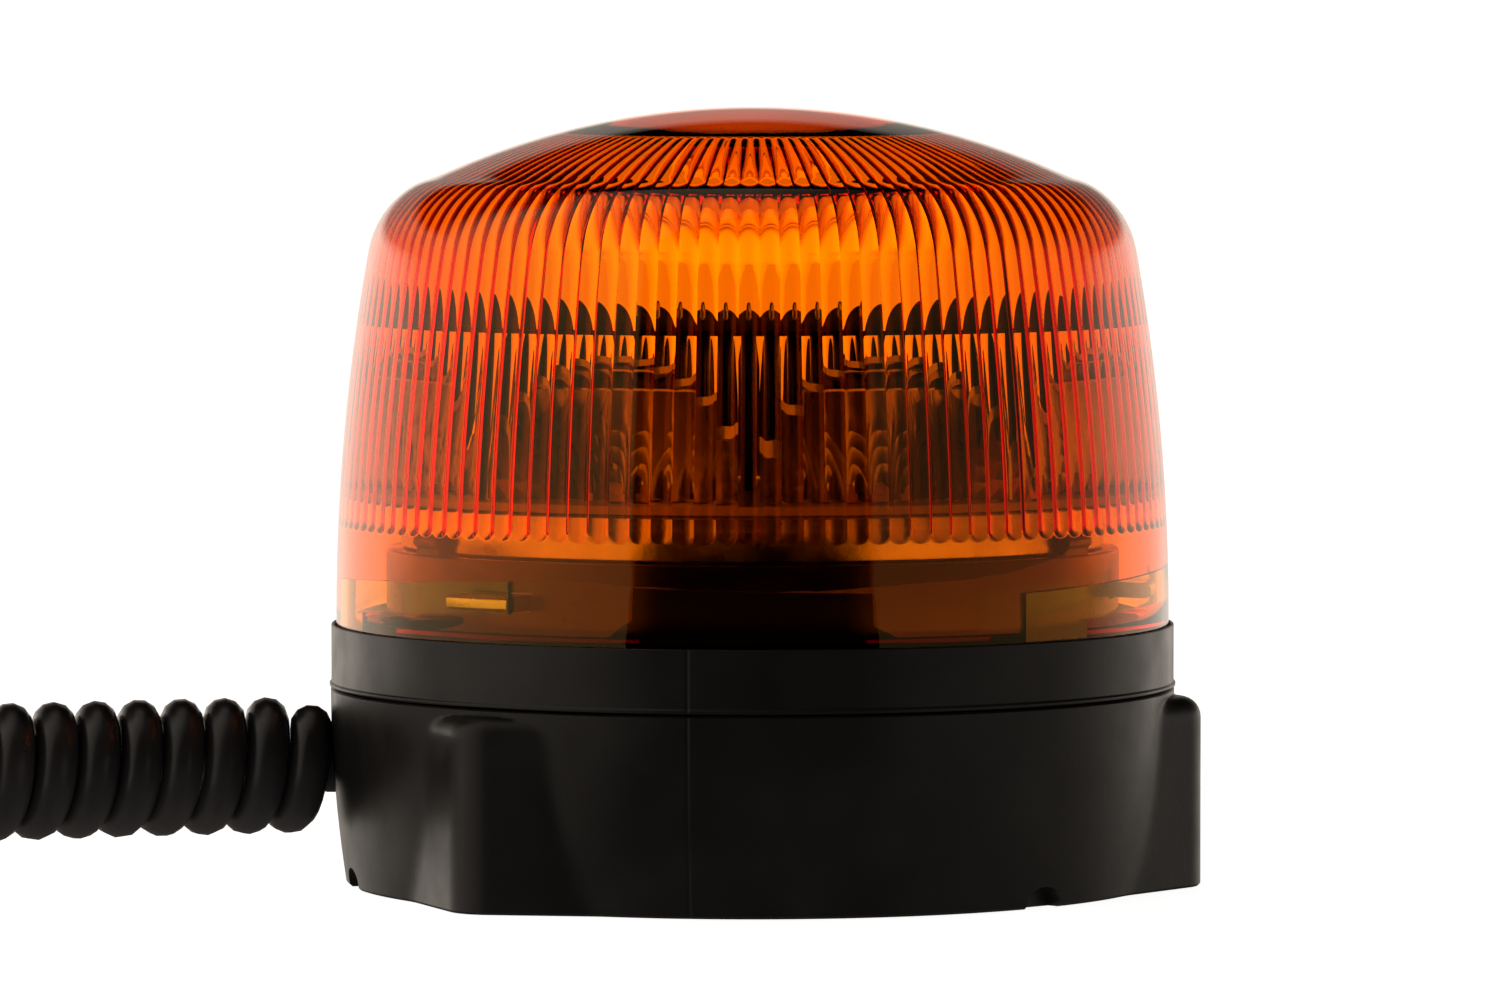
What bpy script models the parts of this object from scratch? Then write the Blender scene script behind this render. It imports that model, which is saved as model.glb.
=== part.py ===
"""Amber LED warning beacon with a magnetic foot, a bayonet hood and a spiral lead.

The origin is on the lamp's axis, in the plane of the magnet faces.  +Z is up
and the lead leaves towards -X.  Bearings are in degrees, counted from -Y
towards +X.  The driving dimensions are in millimetres, the objects in metres.
"""
from math import acos, cos, pi, radians, sin, sqrt

import bmesh
import bpy
from mathutils import Matrix, Vector

MM = 0.001
GAP = 0.3                      # between pieces that touch

# ---- hood -----------------------------------------------------------------
HOOD_TOP = 126.8
CAP_RADIUS = 123.0             # sphere at the crown
SHOULDER_RADIUS = 15.4
WALL_CURVE_RADIUS = 335.0
CAP_EDGE = (53.5, 115.0)
SHOULDER_EDGE = (62.6, 104.5)
WALL_FOOT = (68.2, 44.4)
HOOD_THICKNESS = 3.0
SKIRT_RADIUS = 66.3            # the part that stands inside the collar
SKIRT_INNER_RADIUS = 63.9
SKIRT_BOTTOM = 36.4

# ---- bayonet --------------------------------------------------------------
BAYONET_BEARINGS = (-41.0, 79.0, 199.0)
CLIP_SWEEP = 11.0
CLIP_BOTTOM = 47.3
CLIP_HEIGHT = 2.4
CLIP_RADIUS = 66.1
SLOT_RADIUS = 66.5
SLOT_TRAVEL = 33.0             # turn between locked and free
SLOT_HEIGHT = 5.2
SLOT_RISE = 2.0                # climb of the slot towards its locked end
SLOT_END_PLAY = 0.6            # degrees past the locked clip

# ---- housing and carrier --------------------------------------------------
COLLAR_RADIUS = 69.0
COLLAR_TOP = 42.4
COLLAR_LEDGE = 39.3
COLLAR_LIP_RADIUS = 68.5
COLLAR_BORE = 66.7
BEAD_RADIUS = 69.3
HOUSING_BOTTOM = 32.3
HOUSING_FLOOR = 34.8
WIRE_HOLE_RADIUS = 8.0
CARRIER_RADIUS = 60.0
CARRIER_WALL = 2.4
CARRIER_TOP = 55.0
CARRIER_DECK = 2.2
CATCH_BEARINGS = (-60.0, 60.0, 180.0)
CATCH_SIZE = (1.9, 7.5, 4.8)   # outwards, round the rim, up

# ---- light unit -----------------------------------------------------------
HEAT_SINK_RADIUS = 57.5
HEAT_SINK_WALL = 3.0
BOARD_RADIUS = 60.0
BOARD_BOTTOM = 62.8
BOARD_THICKNESS = 1.4
REFLECTOR_COUNT = 8
REFLECTOR_APOTHEM = 54.6
REFLECTOR_HALF_WIDTH = 21.8
REFLECTOR_HEIGHT = 23.1
REFLECTOR_DEPTH = 10.0
REFLECTOR_WALL = 1.0
LED_RING_RADIUS = 50.0
COLUMN_RADIUS = 13.0
DISC_RADIUS = 60.9
DISC_BOTTOM = 90.9
DISC_THICKNESS = 0.8

# ---- foot -----------------------------------------------------------------
FOOT_TOP = 32.0
FOOT_TOP_RADIUS = 69.1
FOOT_BOTTOM_RADIUS = 66.6
FOOT_CURVE_RADIUS = 210.0
FOOT_BORE = 66.5
FOOT_FLOOR = 3.2
UNDERSIDE_RECESS = 1.2
LOBE_BEARINGS = (-38.0, 82.0, 202.0)
LOBE_APOTHEM = 65.0
LOBE_TOP = 30.9
LOBE_FILLET = 3.3
LOBE_CORNER_CHAMFER = 4.6      # where each face gives way to the rounded corner
NOTCH_OFFSET = -38.2           # from each lobe
NOTCH_WIDTH = 7.5
NOTCH_HEIGHT = 3.4
NOTCH_CROWN = 2.2              # the round part of its head
VENT_BEARING = 22.0
VENT_RING_RADIUS = 40.0
VENT_HOLE_RADIUS = 4.0
MAGNET_RING_RADIUS = 54.0
MAGNET_CUP_RADIUS = 14.5
MAGNET_CUP_HEIGHT = 8.0
MAGNET_CUP_WALL = 1.6
SCREW_BEARINGS = (8.0, 128.0, 248.0)
SCREW_RING_RADIUS = 50.0
SCREW_RADIUS = 1.7
SCREW_HOLE_RADIUS = 2.0

# ---- electronics in the foot ----------------------------------------------
DRIVER_SIZE = (58.0, 46.0, 1.6)
DRIVER_BOTTOM = 10.0
DRIVER_POSTS = (24.0, 18.0)    # from the axis, along X and Y
CLAMP_X = -50.0
CLAMP_SIZE = (7.0, 19.4, 10.4)
CLAMP_SEAT_HEIGHT = 10.0       # above the foot's floor
CLAMP_SCREW_OFFSET = 7.2

# ---- lead and plug --------------------------------------------------------
LEAD_DIAMETER = 6.6
SPIRAL_DIAMETER = 22.6
LEAD_HEIGHT = 19.0
WALL_HOLE_RADIUS = 4.9
SPIRAL_ROUTE = (
    (-71.8, -0.5, 19.0), (-80.0, -2.7, 19.0), (-95.0, -7.1, 19.0),
    (-110.0, -12.1, 19.0), (-125.0, -17.5, 18.9), (-145.0, -24.4, 17.9),
    (-170.0, -31.4, 15.2), (-200.0, -37.0, 12.5), (-235.0, -40.2, 11.5),
    (-265.0, -41.2, 11.5), (-293.0, -40.0, 11.5), (-325.5, -30.0, 11.5),
    (-343.5, -8.0, 11.5), (-342.5, 15.0, 11.5), (-327.5, 33.0, 11.5),
    (-303.5, 40.0, 11.5),
)
TAIL_ROUTE = (
    (-302.4, 40.2, 11.4), (-296.0, 40.9, 10.2), (-287.0, 41.9, 7.2),
    (-277.0, 42.4, 4.9), (-266.0, 41.8, 5.0), (-257.0, 40.8, 7.8),
    (-247.5, 40.1, 11.2), (-238.3, 40.0, 12.1),
)
PLUG_REAR = (-238.0, 40.0, 12.1)
PLUG_RADIUS = 12.0
PLUG_NOSE_RADIUS = 10.4
PIN_TRAVEL = 3.5
CONTACT_TRAVEL = 1.5

# ---- facets ---------------------------------------------------------------
WIDE_STEPS = 40
MIDDLE_STEPS = 20
SMALL_STEPS = 12
SMOOTH_ANGLE = radians(40)

for leftover in list(bpy.data.objects):
    bpy.data.objects.remove(leftover, do_unlink=True)

PARTS = bpy.data.collections.new("magnetic_led_beacon")
CUTTERS = bpy.data.collections.new("cutters")
for group in (PARTS, CUTTERS):
    bpy.context.scene.collection.children.link(group)


# ---- materials ------------------------------------------------------------
def finish(name, colour, roughness, metallic=0.0, transmission=0.0):
    """A plain Principled material."""
    material = bpy.data.materials.new(name)
    material.use_nodes = True
    shader = material.node_tree.nodes["Principled BSDF"]
    shader.inputs["Base Color"].default_value = (*colour, 1.0)
    shader.inputs["Roughness"].default_value = roughness
    shader.inputs["Metallic"].default_value = metallic
    shader.inputs["Transmission Weight"].default_value = transmission
    return material


AMBER = finish("amber_lens", (0.85, 0.16, 0.01), 0.1, transmission=0.9)
BLACK = finish("black_plastic", (0.012, 0.011, 0.010), 0.45)
CHROME = finish("metallised_plastic", (0.7, 0.7, 0.7), 0.15, metallic=1.0)
ALUMINIUM = finish("cast_aluminium", (0.62, 0.62, 0.62), 0.4, metallic=1.0)
STEEL = finish("zinc_steel", (0.55, 0.55, 0.56), 0.35, metallic=1.0)
BRASS = finish("nickel_brass", (0.72, 0.64, 0.45), 0.3, metallic=1.0)
FERRITE = finish("ferrite", (0.05, 0.05, 0.055), 0.6)
RUBBER = finish("black_rubber", (0.014, 0.013, 0.013), 0.55)
BOARD = finish("circuit_board", (0.75, 0.76, 0.74), 0.5)
EMITTER = finish("led_emitter", (0.85, 0.75, 0.3), 0.3)
GLASS = finish("fuse_glass", (0.8, 0.85, 0.85), 0.05, transmission=0.9)
LEAD_JACKET = finish("lead_jacket", (0.012, 0.011, 0.011), 0.3)


# ---- geometry helpers -----------------------------------------------------
def metres(point):
    return Vector(point) * MM


def place(bearing, radius, height=0.0):
    """The point at a bearing, radius and height."""
    angle = radians(bearing)
    return metres((radius * sin(angle), -radius * cos(angle), height))


def facing(bearing):
    """The turn about Z that takes +X to a bearing."""
    return radians(bearing - 90.0)


def add(name, mesh, material=None):
    """Put a mesh in the scene: a part if it has a material, else a cutter."""
    made = bpy.data.objects.new(name, mesh)
    if material:
        made.data.materials.append(material)
        PARTS.objects.link(made)
    else:
        made.hide_render = True
        made.display_type = "WIRE"
        CUTTERS.objects.link(made)
    return made


def shade(made):
    """Smooth shading with crisp edges on the evaluated shape."""
    made.data.shade_smooth()
    made.data.set_sharp_from_angle(angle=SMOOTH_ANGLE)


def turned(name, outline, material=None, steps=WIDE_STEPS, ring=False):
    """A turned solid: an outline of (radius, height) that runs down its outer side.

    A ring's outline closes on itself; any other begins and ends on the axis.
    """
    count = len(outline)
    edges = [(i, i + 1) for i in range(count - 1)]
    if ring:
        edges.append((count - 1, 0))
    mesh = bpy.data.meshes.new(name)
    mesh.from_pydata([metres((r, 0.0, z)) for r, z in outline], edges, [])
    made = add(name, mesh, material)
    turn = made.modifiers.new("turn", "SCREW")
    turn.steps = turn.render_steps = steps
    turn.use_merge_vertices = True
    turn.merge_threshold = 0.00001
    return made


def rod(name, radius, low, high, material=None, steps=SMALL_STEPS):
    """A cylinder standing on the axis between two heights."""
    mesh = bpy.data.meshes.new(name)
    shape = bmesh.new()
    bmesh.ops.create_cone(shape, cap_ends=True, segments=steps, radius1=radius * MM,
                          radius2=radius * MM, depth=(high - low) * MM)
    bmesh.ops.translate(shape, verts=shape.verts, vec=metres((0, 0, (low + high) / 2)))
    shape.to_mesh(mesh)
    shape.free()
    return add(name, mesh, material)


def block(name, size, centre, material=None):
    """A box of a size about a centre."""
    mesh = bpy.data.meshes.new(name)
    shape = bmesh.new()
    bmesh.ops.create_cube(shape, size=1.0)
    bmesh.ops.scale(shape, verts=shape.verts, vec=metres(size))
    bmesh.ops.translate(shape, verts=shape.verts, vec=metres(centre))
    shape.to_mesh(mesh)
    shape.free()
    return add(name, mesh, material)


def prism(name, outline, low, high, material=None):
    """A flat outline of (x, y) raised between two heights."""
    mesh = bpy.data.meshes.new(name)
    shape = bmesh.new()
    base = shape.faces.new([shape.verts.new(metres((x, y, low))) for x, y in outline])
    raised = bmesh.ops.extrude_face_region(shape, geom=[base])["geom"]
    lifted = [item for item in raised if isinstance(item, bmesh.types.BMVert)]
    bmesh.ops.translate(shape, verts=lifted, vec=metres((0, 0, high - low)))
    bmesh.ops.recalc_face_normals(shape, faces=shape.faces)
    shape.to_mesh(mesh)
    shape.free()
    return add(name, mesh, material)


def arc_bar(name, radii, heights, start, sweep, rise=0.0, material=None):
    """A bar of rectangular section that runs round the axis, climbing by rise."""
    steps = max(1, round(sweep / 6.0))
    mesh = bpy.data.meshes.new(name)
    shape = bmesh.new()
    corners = [(radii[0], heights[0]), (radii[1], heights[0]),
               (radii[1], heights[1]), (radii[0], heights[1])]
    turn = Matrix.Rotation(facing(start), 4, "Z")
    section = [shape.verts.new(turn @ metres((r, 0, z))) for r, z in corners]
    face = shape.faces.new(section)
    bmesh.ops.spin(shape, geom=[face, *face.edges, *section], cent=(0, 0, 0), axis=(0, 0, 1),
                   dvec=metres((0, 0, rise / steps)), angle=radians(sweep), steps=steps)
    bmesh.ops.recalc_face_normals(shape, faces=shape.faces)
    shape.to_mesh(mesh)
    shape.free()
    return add(name, mesh, material)


def combine(target, tool, operation):
    change = target.modifiers.new(tool.name, "BOOLEAN")
    change.operation = operation
    change.solver = "EXACT"
    change.object = tool


def cut(target, tool):
    combine(target, tool, "DIFFERENCE")


def fuse(target, tool):
    combine(target, tool, "UNION")


def at(made, bearing, radius):
    """Move a shape that was made on the axis to a bearing and radius, facing out."""
    made.location = place(bearing, radius)
    made.rotation_euler.z = facing(bearing)
    return made


def along_x(made, point):
    """Lay a turned shape down, its own +Z towards +X, its origin at a point."""
    made.rotation_euler.y = pi / 2
    made.location = metres(point)
    return made


def copies(names, mesh, material):
    """Objects that share one mesh."""
    mesh.materials.append(material)
    found = []
    for name in names:
        made = bpy.data.objects.new(name, mesh)
        PARTS.objects.link(made)
        found.append(made)
    return found


def arc(start, end, radius, count):
    """Points on the arc that bulges away from the axis, from start down to end."""
    (r0, z0), (r1, z1) = start, end
    middle = Vector(((r0 + r1) / 2, (z0 + z1) / 2))
    chord = Vector((r1 - r0, z1 - z0))
    inward = Vector((chord.y, -chord.x)).normalized()
    centre = middle + inward * sqrt(radius ** 2 - (chord.length / 2) ** 2)
    first = Vector(start) - centre
    last = Vector(end) - centre
    angle = acos(first.dot(last) / radius ** 2)
    points = []
    for i in range(count + 1):
        turn = Matrix.Rotation(-angle * i / count, 2)
        points.append(tuple(centre + turn @ first))
    return points


def offset(points, distance):
    """An outline moved inwards by a distance, square to its own run."""
    moved = []
    for i, (r, z) in enumerate(points):
        before = points[max(i - 1, 0)]
        after = points[min(i + 1, len(points) - 1)]
        run = Vector((after[0] - before[0], after[1] - before[1])).normalized()
        moved.append((r + run.y * distance, z - run.x * distance))
    return moved


# ---- hood -----------------------------------------------------------------
def hood_outline():
    """The hood's outer side, from the crown down to the foot of the wall."""
    centre = HOOD_TOP - CAP_RADIUS
    crown = []
    for i in range(5):
        r = CAP_EDGE[0] * i / 5
        crown.append((r, centre + sqrt(CAP_RADIUS ** 2 - r ** 2)))
    shoulder = arc(CAP_EDGE, SHOULDER_EDGE, SHOULDER_RADIUS, 3)
    wall = arc(SHOULDER_EDGE, WALL_FOOT, WALL_CURVE_RADIUS, 4)
    return crown + shoulder + wall[1:]


def bayonet_slot(bearing):
    """A hooked slot in the wall's inner side: a way in from below, then a climbing run."""
    entry = CLIP_SWEEP + 2 * SLOT_END_PLAY
    end = bearing + entry / 2
    start = end - SLOT_TRAVEL - entry
    run_steps = 6
    stops = [start, start + entry / 2] + [start + entry + SLOT_TRAVEL * i / run_steps
                                          for i in range(run_steps + 1)]
    mesh = bpy.data.meshes.new("bayonet_slot")
    shape = bmesh.new()
    columns = []
    for i, stop in enumerate(stops):
        floor = CLIP_BOTTOM - GAP - SLOT_RISE * (end - stop) / (end - start)
        heights = [SKIRT_BOTTOM - 1, floor, floor + SLOT_HEIGHT][0 if i < 3 else 1:]
        columns.append([shape.verts.new(place(stop, SLOT_RADIUS, z)) for z in heights])
    for left, right in zip(columns, columns[1:]):
        count = min(len(left), len(right))
        left, right = left[-count:], right[-count:]
        for i in range(count - 1):
            shape.faces.new((left[i], right[i], right[i + 1], left[i + 1]))
    raised = bmesh.ops.extrude_face_region(shape, geom=shape.faces[:])["geom"]
    inner = [item for item in raised if isinstance(item, bmesh.types.BMVert)]
    narrowing = (SKIRT_INNER_RADIUS - 2) / SLOT_RADIUS
    bmesh.ops.scale(shape, verts=inner, vec=(narrowing, narrowing, 1.0))
    bmesh.ops.recalc_face_normals(shape, faces=shape.faces)
    shape.to_mesh(mesh)
    shape.free()
    return add("bayonet_slot", mesh)


def make_hood():
    outer = hood_outline()
    inner = offset(outer, HOOD_THICKNESS)
    inner[0] = (0.0, HOOD_TOP - HOOD_THICKNESS)
    ledge = COLLAR_LEDGE + GAP
    foot = [(WALL_FOOT[0], ledge), (SKIRT_RADIUS, ledge), (SKIRT_RADIUS, SKIRT_BOTTOM),
            (SKIRT_INNER_RADIUS, SKIRT_BOTTOM), (SKIRT_INNER_RADIUS, COLLAR_TOP)]
    hood = turned("lens_hood", outer + foot + inner[::-1], AMBER)
    for bearing in BAYONET_BEARINGS:
        cut(hood, bayonet_slot(bearing))
    shade(hood)
    ring = [(SKIRT_RADIUS - 0.3, SKIRT_BOTTOM - GAP), (SKIRT_RADIUS - 0.3, HOUSING_FLOOR + GAP),
            (SKIRT_INNER_RADIUS + 0.3, HOUSING_FLOOR + GAP),
            (SKIRT_INNER_RADIUS + 0.3, SKIRT_BOTTOM - GAP)]
    turned("hood_seal", ring, RUBBER, ring=True)


# ---- housing --------------------------------------------------------------
def make_housing():
    tongue = (61.2, 63.3, 29.5)
    outline = [(COLLAR_RADIUS - 0.25, COLLAR_TOP), (COLLAR_RADIUS, COLLAR_TOP - 0.25),
               (COLLAR_RADIUS, 33.1), (BEAD_RADIUS, 32.8), (BEAD_RADIUS, HOUSING_BOTTOM),
               (tongue[1], HOUSING_BOTTOM), (tongue[1], tongue[2]), (tongue[0], tongue[2]),
               (tongue[0], HOUSING_BOTTOM), (WIRE_HOLE_RADIUS, HOUSING_BOTTOM),
               (WIRE_HOLE_RADIUS, HOUSING_FLOOR), (COLLAR_BORE, HOUSING_FLOOR),
               (COLLAR_BORE, COLLAR_LEDGE), (COLLAR_LIP_RADIUS, COLLAR_LEDGE),
               (COLLAR_LIP_RADIUS, COLLAR_TOP)]
    housing = turned("lamp_housing", outline, BLACK, ring=True)
    for bearing in SCREW_BEARINGS:
        hole = rod("housing_screw_hole", SCREW_HOLE_RADIUS, HOUSING_BOTTOM - 1, HOUSING_FLOOR + 1)
        cut(housing, at(hole, bearing, SCREW_RING_RADIUS))
    seal = [(FOOT_BORE - GAP, FOOT_TOP), (FOOT_BORE - GAP, tongue[2]),
            (tongue[1] + GAP, tongue[2]), (tongue[1] + GAP, FOOT_TOP)]
    turned("foot_seal", seal, RUBBER, ring=True)


def make_carrier():
    bore = CARRIER_RADIUS - CARRIER_WALL
    deck = CARRIER_TOP - CARRIER_DECK
    foot = HOUSING_FLOOR + GAP
    outline = [(CARRIER_RADIUS, CARRIER_TOP), (CARRIER_RADIUS, foot), (bore, foot), (bore, deck),
               (10.0, deck), (10.0, CARRIER_TOP)]
    carrier = turned("board_carrier", outline, BLACK, ring=True)
    for bearing in SCREW_BEARINGS:
        fuse(carrier, at(rod("carrier_boss", 4.5, foot, deck + 1), bearing, SCREW_RING_RADIUS))
        pilot = rod("carrier_pilot", SCREW_HOLE_RADIUS, foot - 1, 48.0)
        cut(carrier, at(pilot, bearing, SCREW_RING_RADIUS))
    for bearing in CATCH_BEARINGS:
        catch = block("rim_catch", CATCH_SIZE, (0, 0, CARRIER_TOP - 1 + CATCH_SIZE[2] / 2))
        fuse(carrier, at(catch, bearing, CARRIER_RADIUS - 0.2 - CATCH_SIZE[0] / 2))
    for bearing in BAYONET_BEARINGS:
        window = arc_bar("clip_window", (bore - 1, CARRIER_RADIUS + 1),
                         (CLIP_BOTTOM - 0.35, CLIP_BOTTOM + CLIP_HEIGHT + 0.35),
                         bearing - CLIP_SWEEP / 2 - 0.4, CLIP_SWEEP + 0.8)
        cut(carrier, window)


def make_clips():
    """Spring clips: each tongue stands out of the carrier under its backing plate."""
    bore = CARRIER_RADIUS - CARRIER_WALL
    plate_top = CARRIER_TOP - CARRIER_DECK - 0.5
    for number, bearing in enumerate(BAYONET_BEARINGS, start=1):
        start = bearing - CLIP_SWEEP / 2
        clip = arc_bar(f"bayonet_clip_{number}", (bore - 1.2, CLIP_RADIUS),
                       (CLIP_BOTTOM, CLIP_BOTTOM + CLIP_HEIGHT), start, CLIP_SWEEP, material=STEEL)
        plate = arc_bar("clip_plate", (bore - 2.0, bore - 0.6), (CLIP_BOTTOM - 3.2, plate_top),
                        start - 1.0, CLIP_SWEEP + 2.0)
        fuse(clip, plate)


# ---- light unit -----------------------------------------------------------
def reflector_mesh():
    """Half of a dish that opens outwards and stands on its cut edge.

    It is swept about its own axis, then stood up with the axis level.
    """
    mesh = bpy.data.meshes.new("reflector")
    rings = 5
    points = []
    for i in range(rings + 1):
        narrowing = sin(pi / 2 * (1 - i / rings))
        depth = REFLECTOR_DEPTH * (1 - narrowing ** 2)
        points.append(metres((REFLECTOR_HALF_WIDTH * narrowing, 0, -depth)))
    mesh.from_pydata(points, [(i, i + 1) for i in range(rings)], [])
    return mesh


def make_reflectors():
    mesh = reflector_mesh()
    names = [f"reflector_{i + 1}" for i in range(REFLECTOR_COUNT)]
    floor = BOARD_BOTTOM + BOARD_THICKNESS + GAP
    for i, made in enumerate(copies(names, mesh, CHROME)):
        turn = made.modifiers.new("turn", "SCREW")
        turn.angle = pi
        turn.steps = turn.render_steps = 10
        turn.use_merge_vertices = True
        turn.merge_threshold = 0.00001
        wall = made.modifiers.new("wall", "SOLIDIFY")
        wall.thickness = REFLECTOR_WALL * MM
        wall.offset = -1.0
        bearing = (i + 0.5) * 360.0 / REFLECTOR_COUNT
        upright = Matrix.Rotation(pi / 2, 4, "Z") @ Matrix.Rotation(pi / 2, 4, "X")
        height = REFLECTOR_HEIGHT / REFLECTOR_HALF_WIDTH
        made.matrix_world = (Matrix.Translation(place(bearing, REFLECTOR_APOTHEM, floor))
                             @ Matrix.Rotation(facing(bearing), 4, "Z") @ upright
                             @ Matrix.Diagonal((1, height, 1, 1)))


def make_leds():
    floor = BOARD_BOTTOM + BOARD_THICKNESS + GAP
    outline = [(0.0, floor + 2.9), (1.6, floor + 2.4), (2.3, floor + 1.1), (3.2, floor + 1.1),
               (3.2, floor), (0.0, floor)]
    for i in range(REFLECTOR_COUNT):
        led = turned(f"led_{i + 1}", outline, EMITTER, steps=8)
        at(led, (i + 0.5) * 360.0 / REFLECTOR_COUNT, LED_RING_RADIUS)


def make_light_unit():
    top = BOARD_BOTTOM + BOARD_THICKNESS
    rim = HEAT_SINK_RADIUS
    inside = rim - HEAT_SINK_WALL
    sink_top = BOARD_BOTTOM - GAP
    sink_foot = CARRIER_TOP + GAP
    sink = [(rim - 0.4, sink_top), (rim, sink_top - 0.4), (rim, sink_foot), (inside, sink_foot),
            (inside, sink_top - HEAT_SINK_WALL), (6.0, sink_top - HEAT_SINK_WALL), (6.0, sink_top)]
    turned("heat_sink", sink, ALUMINIUM, ring=True)
    turned("led_board", [(BOARD_RADIUS, top), (BOARD_RADIUS, BOARD_BOTTOM), (5.0, BOARD_BOTTOM),
                         (5.0, top)], BOARD, ring=True)
    make_reflectors()
    make_leds()
    column_top = DISC_BOTTOM - GAP
    column = [(COLUMN_RADIUS, column_top), (COLUMN_RADIUS, top + GAP),
              (COLUMN_RADIUS - 2.2, top + GAP), (COLUMN_RADIUS - 2.2, column_top - 3.5),
              (SCREW_HOLE_RADIUS, column_top - 3.5), (SCREW_HOLE_RADIUS, column_top)]
    turned("column", column, BLACK, MIDDLE_STEPS, ring=True)
    disc_top = DISC_BOTTOM + DISC_THICKNESS
    turned("shade_disc", [(DISC_RADIUS, disc_top), (DISC_RADIUS, DISC_BOTTOM),
                          (SCREW_HOLE_RADIUS, DISC_BOTTOM), (SCREW_HOLE_RADIUS, disc_top)],
           BLACK, ring=True)
    make_screw("disc_screw", disc_top + GAP, disc_top + GAP + 2.6, 84.0)


def make_screw(name, seat, crown, tip):
    """A pan head screw with a cross recess; its head lies between seat and crown.

    Screws that point down have their crown above the seat, the others below it.
    """
    shank = SCREW_RADIUS
    side = 1 if crown > seat else -1
    outline = [(0.0, crown), (2.6, crown - side * 0.3), (3.7, crown - side * 1.3), (3.7, seat),
               (shank, seat), (shank, tip), (0.0, tip)]
    if side < 0:
        outline.reverse()
    screw = turned(name, outline, STEEL, SMALL_STEPS)
    for size in ((3.2, 0.8, 3.0), (0.8, 3.2, 3.0)):
        slot = block("cross_recess", size, (0, 0, crown + side * 0.2))
        slot.parent = screw
        cut(screw, slot)
    return screw


# ---- foot -----------------------------------------------------------------
def lobe_outline():
    """A corner that stands out of the round foot, its two faces 120 degrees apart."""
    corner = LOBE_APOTHEM / cos(radians(30))
    side = Vector((LOBE_APOTHEM * cos(radians(30)), LOBE_APOTHEM * sin(radians(30))))
    root = side * 0.8
    return [(corner, 0.0), tuple(side), tuple(root), (root.x, -root.y), (side.x, -side.y)]


def make_lobe(bearing):
    lobe = prism("lobe", lobe_outline(), 0.0, LOBE_TOP)
    weights = lobe.data.attributes.new("bevel_weight_edge", "FLOAT", "EDGE")
    reach = LOBE_APOTHEM * 0.9 * MM
    top_weight = LOBE_FILLET / LOBE_CORNER_CHAMFER
    for edge in lobe.data.edges:
        ends = [lobe.data.vertices[i].co for i in edge.vertices]
        outside = all(end.xy.length > reach for end in ends)
        on_top = all(end.z > LOBE_TOP * MM * 0.9 for end in ends)
        upright = abs(ends[0].z - ends[1].z) > MM and ends[0].xy.length > LOBE_APOTHEM * 1.05 * MM
        weights.data[edge.index].value = top_weight if outside and on_top else float(upright)
    bevel = lobe.modifiers.new("rounding", "BEVEL")
    bevel.limit_method = "WEIGHT"
    bevel.width = LOBE_CORNER_CHAMFER * MM
    bevel.segments = 3
    lobe.rotation_euler.z = facing(bearing)
    return lobe


def make_notch(bearing):
    """A doorway in the bottom rim, its head round."""
    half = NOTCH_WIDTH / 2
    head = []
    for i in range(5):
        angle = pi * i / 4
        head.append((half * cos(angle), NOTCH_HEIGHT - NOTCH_CROWN * (1 - sin(angle))))
    notch = prism("notch", head + [(-half, -1.0), (half, -1.0)], 60.0, 72.0)
    turn = Matrix.Rotation(facing(bearing), 4, "Z")
    notch.matrix_world = turn @ Matrix.Rotation(pi / 2, 4, "Z") @ Matrix.Rotation(pi / 2, 4, "X")
    return notch


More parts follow.
